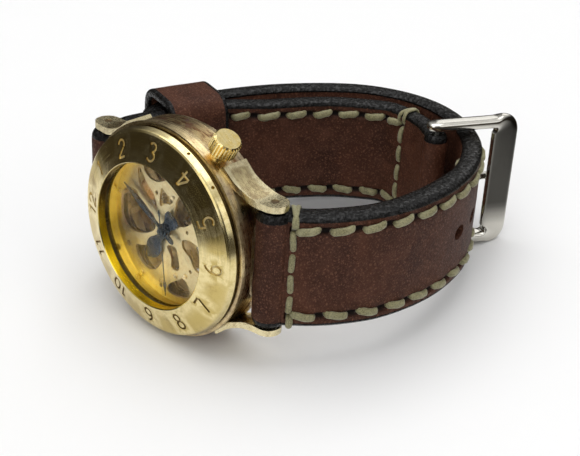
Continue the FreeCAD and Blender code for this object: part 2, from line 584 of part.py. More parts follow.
def makeHands():
    hour = [(-3.6, 0.5), (-3.2, 1.1), (-1.6, 0.9), (0, 0.7), (2.6, 0.7), (4.0, 1.5), (5.6, 1.75), (7.2, 1.0),
            (8.4, 0.2)]
    minute = [(-3.0, 0.35), (-2.2, 0.6), (0, 0.55), (4.2, 0.6), (7.0, 0.85), (10.0, 0.5), (12.2, 0.1)]
    second = [(-4.0, 0.3), (-3.4, 0.4), (0, 0.13), (9.6, 0.1), (10.4, 0.42), (11.6, 0.12), (12.8, 0.06)]
    return {
        "hour_hand": hand(handX["hour"], mirrored(hour), clockHour, 1.35, 1.05),
        "minute_hand": hand(handX["minute"], mirrored(minute), clockMinute, 1.15, 0.62),
        "seconds_hand": hand(handX["seconds"], mirrored(second), clockSecond, 0.75, pivotR, 0.2),
    }


# ---- strap and buckle, drawn in the X-Y plane and extruded along Z ----
longPath = [(9.2, -23.9), (12.4, -27.0), (16.6, -30.0), (22.6, -33.0), (29.8, -34.4), (38.2, -34.4),
            (46.8, -32.5), (53.2, -29.5), (58.4, -26.0), (61.9, -22.6), (64.9, -18.6), (67.3, -13.6),
            (loopReach, -8.0), (loopReach - 0.3, -2.0), (66.4, 3.6), (62.6, 9.0), (57.4, 13.7),
            (51.4, 17.6), (44.8, 20.9), (37.4, 23.6), (29.4, 25.99), (21.4, 28.38)]
shortPath = [(9.0, 23.1), (13.0, 24.2), (17.0, 23.95)]
buckleP = Vector(56.4, -18.6, 0)
buckleDir = Vector(0.89, -0.456, 0).normalize()
buckleUp = Vector(0.456, 0.89, 0).normalize()


def sampled(path, n=160):
    c = Part.BSplineCurve()
    c.interpolate([Vector(x, y, 0) for x, y in path])
    pts = [c.value(c.FirstParameter + (c.LastParameter - c.FirstParameter) * i / n) for i in range(n + 1)]
    tans = [(pts[min(i + 1, n)] - pts[max(i - 1, 0)]).normalize() for i in range(n + 1)]
    return pts, tans


def band(path, half, t):
    pts, tans = sampled(path)
    pick = list(range(0, len(pts), 5))
    left = [pts[i] + Z.cross(tans[i]) * (t / 2) for i in pick]
    right = [pts[i] - Z.cross(tans[i]) * (t / 2) for i in pick]
    one, two = Part.BSplineCurve(), Part.BSplineCurve()
    one.interpolate(left)
    two.interpolate(right)
    ends = [Part.makeLine(left[-1], right[-1]), Part.makeLine(right[0], left[0])]
    edges = [one.toShape(), ends[0], two.toShape(), ends[1]]
    s = Part.Face(Part.Wire(Part.__sortEdges__(edges))).extrude(Z * (2 * half))
    s.translate(Vector(0, 0, -half))
    return s


def innerLayerPath():
    pts, tans = sampled(longPath)
    shift = strapT + layGap
    keep = [i for i in range(len(pts)) if pts[i].y > 5.0 and pts[i].x > 24.0]
    loose = {i: 2.2 * min(1.0, max(0.0, (pts[i].x - 36) / 10)) for i in keep}
    run = [pts[i] + Z.cross(tans[i]) * (shift + loose[i]) for i in keep[::9]]
    near = [(buckleP.x + 1.0, buckleP.y + 1.3), (59.8, -13.2), (61.2, -8.0), (61.3, -2.8)]
    path = near + [(v.x, v.y) for v in run if v.x > 19.5]
    return path + shortPath[::-1]


def makeStrap():
    half = strapW / 2
    rollA = Part.makeCylinder(rollR, 2 * half, Vector(barX, -barY, -half))
    rollB = Part.makeCylinder(rollR, 2 * half, Vector(barX, barY, -half))
    long = fuse([band(longPath, half, strapT), rollA])
    long = long.cut(Part.makeCylinder(barR + runFit, 60, Vector(barX, -barY, -30)))
    holes = []
    pts, tans = sampled(longPath)
    total = [0.0]
    for i in range(1, len(pts)):
        total.append(total[-1] + (pts[i] - pts[i - 1]).Length)
    cross = min(range(len(pts)), key=lambda i: abs((pts[i] - buckleP).dot(buckleUp)) if pts[i].x > 55 else 99)
    for k in range(-3, 4):
        want = total[cross] + 7.5 * k
        i = min(range(len(pts)), key=lambda j: abs(total[j] - want))
        n = Z.cross(tans[i])
        size = 2.6 if k == 0 else 0.8
        for f in (-1, -0.5, 0, 0.5, 1):
            o = pts[i] + tans[i] * (f * size) - n * (strapT)
            holes.append(Part.makeCylinder(1.45, 2 * strapT, o, n))
    long = long.cut(fuse(holes))
    pinR = 2.4
    short = fuse([band(innerLayerPath(), half, strapT), rollB,
                  Part.makeCylinder(pinR, 2 * half, Vector(buckleP.x, buckleP.y, -half))])
    short = short.cut(Part.makeCylinder(barR + runFit, 60, Vector(barX, barY, -30)))
    short = short.cut(Part.makeCylinder(barR + runFit, 60, Vector(buckleP.x, buckleP.y, -30)))
    slot = Part.makeBox(9, 9, 3.4, Vector(buckleP.x - 2.9, buckleP.y - 4.5, -1.7))
    return {"strap_long": long, "strap_short": short.cut(slot)}


keeperAt = Vector(29.4, 25.99, 0)
keeperDir = Vector(-0.9583, 0.2863, 0).normalize()


def localBlock(origin, u, w, u0, u1, w0, w1, half):
    pts = [origin + u * a + w * b - Z * half for a, b in ((u0, w0), (u1, w0), (u1, w1), (u0, w1))]
    return Part.Face(Part.makePolygon(pts + [pts[0]])).extrude(Z * (2 * half))


def makeKeeper():
    inner = Z.cross(keeperDir)
    top, low = -(strapT / 2 + 0.6), strapT * 1.5 + layGap + 1.0
    wall = 1.5
    s = localBlock(keeperAt, keeperDir, inner, -6.5, 6.5, top - wall, low + wall, strapW / 2 + 0.5 + wall)
    s = s.makeFillet(1.2, [e for e in s.Edges if abs(e.tangentAt(e.FirstParameter).dot(keeperDir)) > 0.99])
    return s.cut(localBlock(keeperAt, keeperDir, inner, -8, 8, top, low, strapW / 2 + 0.5))


def makeBuckle():
    out = {}
    half = strapW / 2 + 0.5
    arm = 1.9
    u, w = buckleDir, buckleUp
    frame = []
    for z0 in (half, -half - arm):
        pts = [(-1.9, -1.5), (buckleSpan + 1.2, -1.2), (buckleSpan + 1.8, 0), (buckleSpan + 1.2, 1.2),
               (-1.9, 1.5), (-2.3, 0)]
        poly = [buckleP + u * a + w * b + Z * z0 for a, b in pts]
        frame.append(Part.Face(Part.makePolygon(poly + [poly[0]])).extrude(Z * arm))
    sec = [(-2.9, -0.7), (-1.8, -1.15), (1.6, -1.15), (2.6, -0.7), (2.8, 0.4), (1.8, 0.95), (-2.0, 0.95)]
    poly = [buckleP + u * (buckleSpan + a) + w * b - Z * half for a, b in sec]
    frame.append(Part.Face(Part.makePolygon(poly + [poly[0]])).extrude(Z * (2 * half)))
    ring = fuse(frame)
    ring = ring.cut(Part.makeCylinder(barR, 60, Vector(buckleP.x, buckleP.y, -30)))
    out["buckle_frame"] = ring
    start = Vector(buckleP.x, buckleP.y, -half - arm + 0.2)
    out["buckle_bar"] = Part.makeCylinder(barR, 2 * (half + arm) - 0.4, start)
    rod = 0.8
    lift = 0.95 + air + rod
    a, b = buckleP + w * 0.9, buckleP + u * (buckleSpan + 1.2) + w * lift
    tongue = fuse([Part.makeCylinder(rod, (b - a).Length, a, b - a), Part.makeSphere(rod, b),
                   Part.makeCylinder(1.75, 2.6, Vector(buckleP.x, buckleP.y, -1.3))])
    out["buckle_tongue"] = tongue.cut(Part.makeCylinder(barR + runFit, 10, Vector(buckleP.x, buckleP.y, -5)))
    return out


# ---- lay the watch on its side: it rests on the case ring and the buckle ----
def restTilt():
    low = strapW / 2 + 0.5 + 1.9
    far = buckleP.x + buckleDir.x * (buckleSpan + 1.5)
    return math.degrees(math.atan2(bandR + 0.3 - low, far - ringX - 0.4))


nodes = {}
for group in (makeCaseParts(), makeTrain(), makeEscapement(), makeMovementDetails(), makeBridges(),
              makeWinding(), makeHands(), makeStrap(), makeBuckle()):
    nodes.update(group)
nodes["dial_plate"] = makeDialPlate()
nodes["main_plate"] = makeMainPlate()
nodes["strap_keeper"] = makeKeeper()
print("modelled", len(nodes), "nodes")

tilt = restTilt()
low, high = [1e9] * 3, [-1e9] * 3
for name, s in nodes.items():
    s.rotate(Vector(), Vector(0, 1, 0), tilt)
    b = s.optimalBoundingBox()
    low = [min(l, v) for l, v in zip(low, (b.XMin, b.YMin, b.ZMin))]
    high = [max(h, v) for h, v in zip(high, (b.XMax, b.YMax, b.ZMax))]
shift = Vector(-(low[0] + high[0]) / 2, -(low[1] + high[1]) / 2, -low[2])
size = [round(h - l, 3) for h, l in zip(high, low)]
print("tilt", round(tilt, 4), "shift", [round(v, 4) for v in shift], "size", size)

os.makedirs("parts", exist_ok=True)
for name, s in nodes.items():
    s.translate(shift)
    bad = [q for q in s.Solids if not q.isValid()]
    if bad or not s.Solids:
        print("CHECK", name, len(s.Solids), "solids,", len(bad), "bad")
    s.exportStep("parts/" + name + ".step")
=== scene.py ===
import bmesh
import bpy
import json
import math
import random
from mathutils import Matrix, Vector, noise


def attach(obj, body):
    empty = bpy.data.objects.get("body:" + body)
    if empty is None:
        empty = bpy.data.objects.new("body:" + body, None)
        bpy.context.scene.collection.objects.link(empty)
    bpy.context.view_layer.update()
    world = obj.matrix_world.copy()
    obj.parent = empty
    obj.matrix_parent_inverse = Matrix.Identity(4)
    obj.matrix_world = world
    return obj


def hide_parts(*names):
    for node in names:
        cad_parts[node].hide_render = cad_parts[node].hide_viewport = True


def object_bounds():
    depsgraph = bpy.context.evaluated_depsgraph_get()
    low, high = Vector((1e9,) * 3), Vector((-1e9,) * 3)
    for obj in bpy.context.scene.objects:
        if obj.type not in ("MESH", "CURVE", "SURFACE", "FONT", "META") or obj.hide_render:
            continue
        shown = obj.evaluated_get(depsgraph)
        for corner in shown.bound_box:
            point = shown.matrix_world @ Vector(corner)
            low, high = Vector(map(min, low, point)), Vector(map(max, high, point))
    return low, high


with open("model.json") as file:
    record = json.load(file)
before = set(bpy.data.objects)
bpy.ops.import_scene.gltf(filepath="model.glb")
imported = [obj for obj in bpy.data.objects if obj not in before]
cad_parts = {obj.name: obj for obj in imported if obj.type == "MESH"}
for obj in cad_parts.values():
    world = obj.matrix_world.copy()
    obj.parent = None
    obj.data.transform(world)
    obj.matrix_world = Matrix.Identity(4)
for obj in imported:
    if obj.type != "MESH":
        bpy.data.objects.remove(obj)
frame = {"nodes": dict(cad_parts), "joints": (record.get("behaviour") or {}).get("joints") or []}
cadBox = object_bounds()
joints = {j["name"]: j for j in frame["joints"]}
print("frame loaded")

# The watch leans on its case ring, so pieces are drawn in the watch's own axes:
# x from the dial into the case, y to 12 o'clock, z to 3 o'clock, in millimetres.
watch = {"barDepth": 7.5, "bezelEdge": 19.5, "opening": 13.8, "coneRise": 1.95,
         "seams": ((1.86, 0.34), (2.98, 0.2))}
axisX = Vector(joints["seconds_turn"]["axis"])
axisZ = Vector(joints["long_strap_swing"]["axis"])
axisY = axisZ.cross(axisX)
bar6 = Vector(joints["long_strap_swing"]["pos_m"])
bar12 = Vector(joints["short_strap_swing"]["pos_m"])
origin = (bar6 + bar12) / 2 - axisX * watch["barDepth"] / 1000
barReach = (bar12 - bar6).length * 500
lean = math.atan2(-axisX.z, axisX.x)


def spot(x, y, z):
    return origin + (axisX * x + axisY * y + axisZ * z) / 1000


def addNode(tree, kind, **values):
    node = tree.nodes.new("ShaderNode" + kind)
    for key, value in values.items():
        if key in node.inputs.keys():
            node.inputs[key].default_value = value
        else:
            setattr(node, key, value)
    return node


def link(tree, source, target):
    tree.links.new(source, target)


def placedNoise(tree, coord, **values):
    node = addNode(tree, "TexNoise", **values)
    link(tree, coord.outputs["Object"], node.inputs["Vector"])
    return node


def newGroup(name, inputs, outputs):
    tree = bpy.data.node_groups.new(name, "ShaderNodeTree")
    for label, value in inputs.items():
        socket = tree.interface.new_socket(name=label, in_out="INPUT", socket_type="NodeSocketFloat")
        socket.default_value = value
    for label in outputs:
        tree.interface.new_socket(name=label, in_out="OUTPUT", socket_type="NodeSocketFloat")
    return tree, tree.nodes.new("NodeGroupInput"), tree.nodes.new("NodeGroupOutput")


def mathNode(tree, operation, a, b=None, clamp=False):
    node = tree.nodes.new("ShaderNodeMath")
    node.operation = operation
    node.use_clamp = clamp
    for i, v in enumerate((a, b)):
        if v is None:
            continue
        if isinstance(v, (int, float)):
            node.inputs[i].default_value = v
        else:
            tree.links.new(v, node.inputs[i])
    return node.outputs[0]


def remap(tree, value, low, high, outLow=0.0, outHigh=1.0):
    node = tree.nodes.new("ShaderNodeMapRange")
    node.interpolation_type = "SMOOTHSTEP"
    tree.links.new(value, node.inputs["Value"])
    for key, v in (("From Min", low), ("From Max", high), ("To Min", outLow), ("To Max", outHigh)):
        if isinstance(v, (int, float)):
            node.inputs[key].default_value = v
        else:
            tree.links.new(v, node.inputs[key])
    return node.outputs["Result"]


def mixColour(tree, factor, a, b):
    node = tree.nodes.new("ShaderNodeMix")
    node.data_type = "RGBA"
    for socket, v in ((node.inputs[0], factor), (node.inputs[6], a), (node.inputs[7], b)):
        if isinstance(v, (int, float)):
            socket.default_value = v
        elif isinstance(v, (tuple, list)):
            socket.default_value = tuple(v) + ((1.0,) if len(v) == 3 else ())
        else:
            tree.links.new(v, socket)
    return node.outputs[2]


# Place on the watch in millimetres: depth into the case, radius from its axis, the turn round it and the side
def makeCasePlaceGroup():
    tree, _, gout = newGroup("casePlace", {}, ("Depth", "Radius", "Angle", "Side"))
    coord = addNode(tree, "TexCoord")
    mapping = addNode(tree, "Mapping", vector_type="TEXTURE")
    mapping.inputs["Location"].default_value = origin
    mapping.inputs["Rotation"].default_value = (0, lean, 0)
    mapping.inputs["Scale"].default_value = (0.001, 0.001, 0.001)
    link(tree, coord.outputs["Object"], mapping.inputs["Vector"])
    split = addNode(tree, "SeparateXYZ")
    link(tree, mapping.outputs[0], split.inputs[0])
    y2 = mathNode(tree, "MULTIPLY", split.outputs[1], split.outputs[1])
    z2 = mathNode(tree, "MULTIPLY", split.outputs[2], split.outputs[2])
    radius = mathNode(tree, "SQRT", mathNode(tree, "ADD", y2, z2))
    angle = mathNode(tree, "ARCTAN2", split.outputs[2], split.outputs[1])
    link(tree, split.outputs[0], gout.inputs["Depth"])
    link(tree, radius, gout.inputs["Radius"])
    link(tree, angle, gout.inputs["Angle"])
    link(tree, split.outputs[2], gout.inputs["Side"])
    return tree


# Bright rubbed edges and dark corners from the curvature of the mesh
def makeEdgeWearGroup():
    tree, gin, gout = newGroup("edgeWear", {"Amount": 0.6, "Spread": 0.04, "Scale": 900.0},
                               ("Worn", "Hollow"))
    geometry = addNode(tree, "NewGeometry")
    coord = addNode(tree, "TexCoord")
    specks = placedNoise(tree, coord, Detail=6.0, Roughness=0.7)
    link(tree, gin.outputs["Scale"], specks.inputs["Scale"])
    above = mathNode(tree, "SUBTRACT", geometry.outputs["Pointiness"], 0.5)
    worn = mathNode(tree, "MULTIPLY", remap(tree, above, 0.012, gin.outputs["Spread"]),
                    remap(tree, specks.outputs[0], 0.3, 0.6, 0.35, 1.0), True)
    hollow = remap(tree, mathNode(tree, "MULTIPLY", above, -1.0), 0.02, 0.1)
    link(tree, mathNode(tree, "MULTIPLY", worn, gin.outputs["Amount"]), gout.inputs["Worn"])
    link(tree, hollow, gout.inputs["Hollow"])
    return tree


# Cloudy tarnish in two sizes, with a mask and a slow colour drift
def makeTarnishGroup():
    tree, gin, gout = newGroup("tarnish", {"Scale": 140.0, "Level": 0.5, "Softness": 0.15},
                               ("Mask", "Drift", "Fine"))
    coord = addNode(tree, "TexCoord")
    big = placedNoise(tree, coord, Detail=5.0, Roughness=0.62, Distortion=0.6)
    link(tree, gin.outputs["Scale"], big.inputs["Scale"])
    small = placedNoise(tree, coord, Detail=4.0, Roughness=0.7)
    link(tree, mathNode(tree, "MULTIPLY", gin.outputs["Scale"], 9.0), small.inputs["Scale"])
    mixed = mathNode(tree, "ADD", mathNode(tree, "MULTIPLY", big.outputs[0], 0.75),
                     mathNode(tree, "MULTIPLY", small.outputs[0], 0.25))
    low = mathNode(tree, "SUBTRACT", gin.outputs["Level"], gin.outputs["Softness"])
    high = mathNode(tree, "ADD", gin.outputs["Level"], gin.outputs["Softness"])
    link(tree, remap(tree, mixed, low, high), gout.inputs["Mask"])
    link(tree, big.outputs[0], gout.inputs["Drift"])
    link(tree, small.outputs[0], gout.inputs["Fine"])
    return tree


# Fine marks left by turning, brushing and handling
def makeToolMarksGroup():
    tree, gin, gout = newGroup("toolMarks", {"Depth": 0.0, "Radius": 0.0, "Angle": 0.0, "Around": 2.5,
                                            "Scale": 2.0, "Scratches": 0.4},
                               ("Height", "Streak"))
    lines = addNode(tree, "TexNoise", Detail=4.0, Roughness=0.65)
    turned = addNode(tree, "CombineXYZ")
    link(tree, mathNode(tree, "MULTIPLY", gin.outputs["Depth"], 6.0), turned.inputs[0])
    link(tree, mathNode(tree, "MULTIPLY", gin.outputs["Radius"], 6.0), turned.inputs[1])
    link(tree, mathNode(tree, "MULTIPLY", gin.outputs["Angle"], gin.outputs["Around"]), turned.inputs[2])
    link(tree, turned.outputs[0], lines.inputs["Vector"])
    link(tree, gin.outputs["Scale"], lines.inputs["Scale"])
    coord = addNode(tree, "TexCoord")
    hairs = addNode(tree, "TexVoronoi", feature="DISTANCE_TO_EDGE", Scale=420.0, Randomness=1.0)
    warp = addNode(tree, "Mapping")
    warp.inputs["Scale"].default_value = (1.0, 0.22, 0.5)
    warp.inputs["Rotation"].default_value = (0.4, 0.9, 0.3)
    link(tree, coord.outputs["Object"], warp.inputs["Vector"])
    link(tree, warp.outputs[0], hairs.inputs["Vector"])
    hair = remap(tree, hairs.outputs["Distance"], 0.0, 0.012, 1.0, 0.0)
    height = mathNode(tree, "SUBTRACT", lines.outputs[0],
                      mathNode(tree, "MULTIPLY", hair, gin.outputs["Scratches"]))
    link(tree, height, gout.inputs["Height"])
    link(tree, lines.outputs[0], gout.inputs["Streak"])
    return tree


# Leather: pores, creases and broad tone
def makeLeatherGrainGroup():
    tree, gin, gout = newGroup("leatherGrain", {"Scale": 1500.0}, ("Height", "Tone", "Pore"))
    coord = addNode(tree, "TexCoord")
    cells = addNode(tree, "TexVoronoi", feature="DISTANCE_TO_EDGE", Randomness=0.9)
    warp = placedNoise(tree, coord, Scale=500.0, Detail=3.0)
    push = addNode(tree, "VectorMath", operation="MULTIPLY_ADD")
    link(tree, warp.outputs["Color"], push.inputs[0])
    push.inputs[1].default_value = (0.0012, 0.0012, 0.0012)
    link(tree, coord.outputs["Object"], push.inputs[2])
    link(tree, push.outputs[0], cells.inputs["Vector"])
    link(tree, gin.outputs["Scale"], cells.inputs["Scale"])
    crease = remap(tree, cells.outputs["Distance"], 0.0, 0.16)
    fine = placedNoise(tree, coord, Detail=8.0, Roughness=0.72)
    link(tree, mathNode(tree, "MULTIPLY", gin.outputs["Scale"], 1.7), fine.inputs["Scale"])
    broad = placedNoise(tree, coord, Scale=85.0, Detail=5.0, Roughness=0.6, Distortion=0.4)
    height = mathNode(tree, "ADD", mathNode(tree, "MULTIPLY", crease, 0.16),
                      mathNode(tree, "MULTIPLY", fine.outputs[0], 1.2))
    link(tree, height, gout.inputs["Height"])
    link(tree, broad.outputs[0], gout.inputs["Tone"])
    link(tree, crease, gout.inputs["Pore"])
    return tree


groups = {"casePlace": makeCasePlaceGroup(), "edgeWear": makeEdgeWearGroup(), "tarnish": makeTarnishGroup(),
          "toolMarks": makeToolMarksGroup(), "leatherGrain": makeLeatherGrainGroup()}


def placeGroup(tree, name, **values):
    node = tree.nodes.new("ShaderNodeGroup")
    node.node_tree = groups[name]
    for key, value in values.items():
        node.inputs[key.replace("_", " ")].default_value = value
    return node


def newMaterial(name, **sockets):
    material = bpy.data.materials.new(name)
    material.use_nodes = True
    tree = material.node_tree
    shader = tree.nodes["Principled BSDF"]
    for key, value in sockets.items():
        shader.inputs[key.replace("_", " ")].default_value = value
    return material, tree, shader


def addBump(tree, shader, height, strength, distance):
    bump = addNode(tree, "Bump")
    bump.inputs["Strength"].default_value = strength
    bump.inputs["Distance"].default_value = distance
    link(tree, height, bump.inputs["Height"])
    link(tree, bump.outputs[0], shader.inputs["Normal"])


metals = {
    "bezelBrass": {
        "base": (0.60, 0.465, 0.17), "dark": (0.28, 0.18, 0.06), "bright": (0.90, 0.77, 0.42),
        "rough": (0.12, 0.24), "tarnish": (150, 0.62, 0.16), "wear": 0.8, "marks": 0.6, "bump": 0.03},
    "bandBrass": {
        "base": (0.54, 0.40, 0.19), "dark": (0.10, 0.045, 0.03), "bright": (0.80, 0.66, 0.38),
        "rough": (0.16, 0.36), "tarnish": (130, 0.52, 0.09), "wear": 0.7, "marks": 1.0, "bump": 0.06,
        "stain": (42.0, 0.85, (0.20, 0.085, 0.03))},
    "lugBrass": {
        "base": (0.76, 0.64, 0.35), "dark": (0.22, 0.14, 0.075), "bright": (0.92, 0.82, 0.52),
        "rough": (0.16, 0.32), "tarnish": (170, 0.56, 0.18), "wear": 0.8, "marks": 0.5, "bump": 0.05,
        "stain": (60.0, 0.4, (0.20, 0.12, 0.06))},
    "crownGold": {
        "base": (0.80, 0.54, 0.10), "dark": (0.30, 0.17, 0.03), "bright": (1.0, 0.88, 0.50),
        "rough": (0.08, 0.2), "tarnish": (300, 0.75, 0.15), "wear": 0.7, "marks": 0.5, "bump": 0.12},
    "innerRingGold": {
        "base": (0.88, 0.66, 0.10), "dark": (0.50, 0.34, 0.05), "bright": (1.0, 0.9, 0.4),
        "rough": (0.05, 0.14), "tarnish": (200, 0.8, 0.1), "wear": 0.2, "marks": 2.0, "bump": 0.05},
    "plateGilt": {
        "base": (0.76, 0.56, 0.22), "dark": (0.40, 0.25, 0.08), "bright": (1.0, 0.90, 0.58),
        "rough": (0.30, 0.46), "tarnish": (420, 0.66, 0.2), "wear": 0.7, "marks": 0.8, "bump": 0.12},
    # The main plate: the gilt coloured dark as painted shade inside the movement
    "platePaintedShade": {
        "base": (0.15, 0.09, 0.045), "dark": (0.05, 0.028, 0.014), "bright": (0.85, 0.66, 0.34),
        "rough": (0.25, 0.4), "tarnish": (420, 0.5, 0.2), "wear": 1.0, "marks": 1.5, "bump": 0.12},
    "wheelBrass": {
        "base": (0.84, 0.66, 0.34), "dark": (0.50, 0.34, 0.14), "bright": (1.0, 0.88, 0.58),
        "rough": (0.18, 0.34), "tarnish": (500, 0.7, 0.15), "wear": 0.6, "marks": 2.0, "bump": 0.1},
    "barrelCopper": {
        "base": (0.74, 0.40, 0.22), "dark": (0.42, 0.18, 0.10), "bright": (0.98, 0.68, 0.46),
        "rough": (0.2, 0.36), "tarnish": (420, 0.6, 0.2), "wear": 0.6, "marks": 2.5, "bump": 0.12},
    "wheelSteel": {
        "base": (0.62, 0.62, 0.63), "dark": (0.34, 0.33, 0.33), "bright": (0.90, 0.90, 0.92),
        "rough": (0.16, 0.32), "tarnish": (480, 0.7, 0.2), "wear": 0.7, "marks": 1.6, "bump": 0.1},
    "handSteel": {
        "base": (0.030, 0.042, 0.055), "dark": (0.012, 0.016, 0.02), "bright": (0.10, 0.13, 0.16),
        "rough": (0.2, 0.34), "tarnish": (600, 0.7, 0.2), "wear": 0.5, "marks": 0.6, "bump": 0.05},
    # Lug bars coloured dark brown as painted shade in the lug holes
    "pinPaintedShade": {
        "base": (0.12, 0.075, 0.04), "dark": (0.05, 0.03, 0.018), "bright": (0.40, 0.30, 0.16),
        "rough": (0.3, 0.45), "tarnish": (600, 0.6, 0.2), "wear": 0.4, "marks": 0.6, "bump": 0.05},
    "buckleNickel": {
        "base": (0.64, 0.62, 0.56), "dark": (0.25, 0.23, 0.20), "bright": (0.80, 0.78, 0.72),
        "rough": (0.10, 0.20), "tarnish": (200, 0.70, 0.2), "wear": 0.5, "marks": 0.5, "bump": 0.02},
}


def placeMarks(tree, place, **values):
    marks = placeGroup(tree, "toolMarks", **values)
    for key in ("Depth", "Radius", "Angle"):
        link(tree, place.outputs[key], marks.inputs[key])
    return marks


def makeMetal(name):
    look = metals[name]
    material, tree, shader = newMaterial(name, Metallic=1.0)
    place = placeGroup(tree, "casePlace")
    wear = placeGroup(tree, "edgeWear", Amount=look["wear"])
    scale, level, soft = look["tarnish"]
    tarnish = placeGroup(tree, "tarnish", Scale=scale, Level=level, Softness=soft)
    marks = placeMarks(tree, place, Scale=look["marks"])
    colour = mixColour(tree, tarnish.outputs["Mask"], look["base"], look["dark"])
    if "stain" in look:
        around, share, tint = look["stain"]
        stain = placeMarks(tree, place, Scale=0.17, Around=around)
        burnt = remap(tree, stain.outputs["Streak"], 0.47, 0.60, 0.0, share)
        colour = mixColour(tree, burnt, colour, tint)
    if name == "bandBrass":
        violet = remap(tree, tarnish.outputs["Drift"], 0.5, 0.66)
        colour = mixColour(tree, mathNode(tree, "MULTIPLY", violet, 0.35), colour, (0.40, 0.24, 0.26))
        green = remap(tree, tarnish.outputs["Fine"], 0.58, 0.72)
        colour = mixColour(tree, mathNode(tree, "MULTIPLY", green, 0.35), colour, (0.42, 0.48, 0.34))
    colour = mixColour(tree, wear.outputs["Worn"], colour, look["bright"])
    colour = mixColour(tree, mathNode(tree, "MULTIPLY", wear.outputs["Hollow"], 0.75), colour, look["dark"])
    if name == "bezelBrass":
        rise = watch["coneRise"] / (watch["bezelEdge"] - watch["opening"])
        cone = mathNode(tree, "SUBTRACT", mathNode(tree, "MULTIPLY", place.outputs["Radius"], rise),
                        watch["coneRise"] + watch["opening"] * rise)
        sunk = remap(tree, mathNode(tree, "SUBTRACT", place.outputs["Depth"], cone), 0.05, 0.2)
        radius, rim, mouth = place.outputs["Radius"], watch["bezelEdge"], watch["opening"]
        face = remap(tree, radius, rim - 0.5, rim - 0.35, 1.0, 0.0)
        away = remap(tree, radius, mouth + 0.3, mouth + 0.5)
        cut = mathNode(tree, "MULTIPLY", mathNode(tree, "MULTIPLY", sunk, face), away)
        # Engraved numerals: painted highlight in the cut toward 3 o'clock, painted shade toward 9 o'clock
        numeralShadeSide = remap(tree, place.outputs["Side"], -9.0, 1.0, 1.0, 0.0)
        numeralLitAndShaded = mixColour(tree, numeralShadeSide, (0.95, 0.82, 0.48), (0.24, 0.15, 0.055))
        colour = mixColour(tree, mathNode(tree, "MULTIPLY", cut, 0.8), colour, numeralLitAndShaded)
        # Bore wall: painted yellow reflection glow toward 9 o'clock, painted shade toward 3 o'clock
        bore = remap(tree, radius, mouth + 0.06, mouth + 0.16, 1.0, 0.0)
        boreShadeSide = remap(tree, place.outputs["Side"], -10.0, 5.0)
        boreGlowAndShade = mixColour(tree, boreShadeSide, (1.0, 0.74, 0.03), (0.16, 0.11, 0.03))
        colour = mixColour(tree, bore, colour, boreGlowAndShade)
    # The seam grooves between bezel, case ring and band are coloured near-black
    if name in ("bezelBrass", "bandBrass"):
        outer = remap(tree, place.outputs["Radius"], 18.6, 18.8)
        for depth, reach in watch["seams"]:
            off = mathNode(tree, "ABSOLUTE", mathNode(tree, "SUBTRACT", place.outputs["Depth"], depth))
            seamDarkening = mathNode(tree, "MULTIPLY", remap(tree, off, reach * 0.4, reach, 0.9, 0.0), outer)
            colour = mixColour(tree, seamDarkening, colour, (0.045, 0.026, 0.012))
    # The buckle bar face is coloured near-black as painted shade for its dark reflection; its rims stay
    # bright
    if name == "buckleNickel":
        bar = addNode(tree, "Attribute", attribute_name="barPaintedShade")
        shaded = mathNode(tree, "MULTIPLY", bar.outputs["Fac"], 0.92)
        colour = mixColour(tree, shaded, colour, (0.014, 0.013, 0.011))
    link(tree, colour, shader.inputs["Base Color"])
    low, high = look["rough"]
    rough = remap(tree, marks.outputs["Streak"], 0.3, 0.7, low, high)
    rough = mathNode(tree, "ADD", rough, mathNode(tree, "MULTIPLY", tarnish.outputs["Mask"], 0.12), True)
    if name == "bezelBrass":
        rough = mathNode(tree, "ADD", rough, mathNode(tree, "MULTIPLY", cut, 0.34), True)
    link(tree, rough, shader.inputs["Roughness"])
    addBump(tree, shader, marks.outputs["Height"], look["bump"], 0.0002)
    return material


materials = {name: makeMetal(name) for name in metals}


def makeRuby():
    material, tree, shader = newMaterial("rubyJewel", Roughness=0.08, IOR=1.76)
    tarnish = placeGroup(tree, "tarnish", Scale=900, Level=0.5, Softness=0.3)
    link(tree, mixColour(tree, tarnish.outputs["Mask"], (0.62, 0.02, 0.09), (0.34, 0.0, 0.05)),
         shader.inputs["Base Color"])
    return material


def makeGlass(name, alpha):
    material, tree, shader = newMaterial(name, Roughness=0.02, IOR=1.2, Transmission_Weight=1.0, Alpha=alpha,
                                         Base_Color=(0.97, 0.98, 0.97, 1.0))
    tarnish = placeGroup(tree, "tarnish", Scale=120, Level=0.58, Softness=0.2)
    link(tree, remap(tree, tarnish.outputs["Mask"], 0.0, 1.0, 0.0, 0.012), shader.inputs["Roughness"])
    return material


def makeRubber():
    material, tree, shader = newMaterial("gasketRubber", Roughness=0.6)
    tarnish = placeGroup(tree, "tarnish", Scale=700, Level=0.5, Softness=0.3)
    link(tree, mixColour(tree, tarnish.outputs["Mask"], (0.10, 0.07, 0.025), (0.17, 0.12, 0.04)),
         shader.inputs["Base Color"])
    link(tree, remap(tree, tarnish.outputs["Fine"], 0.3, 0.7, 0.5, 0.75), shader.inputs["Roughness"])
    return material


materials["rubyJewel"] = makeRuby()
materials["crystalGlass"] = makeGlass("crystalGlass", 0.12)
materials["backGlass"] = makeGlass("backGlass", 0.15)
materials["gasketRubber"] = makeRubber()

# rubbedAndHighlight is the colour of rubbed wear and of the painted highlight on the grain peaks
leather = {"brown": (0.068, 0.0235, 0.0120), "deep": (0.037, 0.0130, 0.0072), "rubbedAndHighlight": (0.160, 0.068, 0.040),
           "edge": (0.0025, 0.0022, 0.002), "edgeWorn": (0.011, 0.009, 0.007), "grain": 1450.0}
threadLook = {"olive": (0.27, 0.25, 0.12), "shade": (0.13, 0.115, 0.05), "pale": (0.46, 0.44, 0.27)}


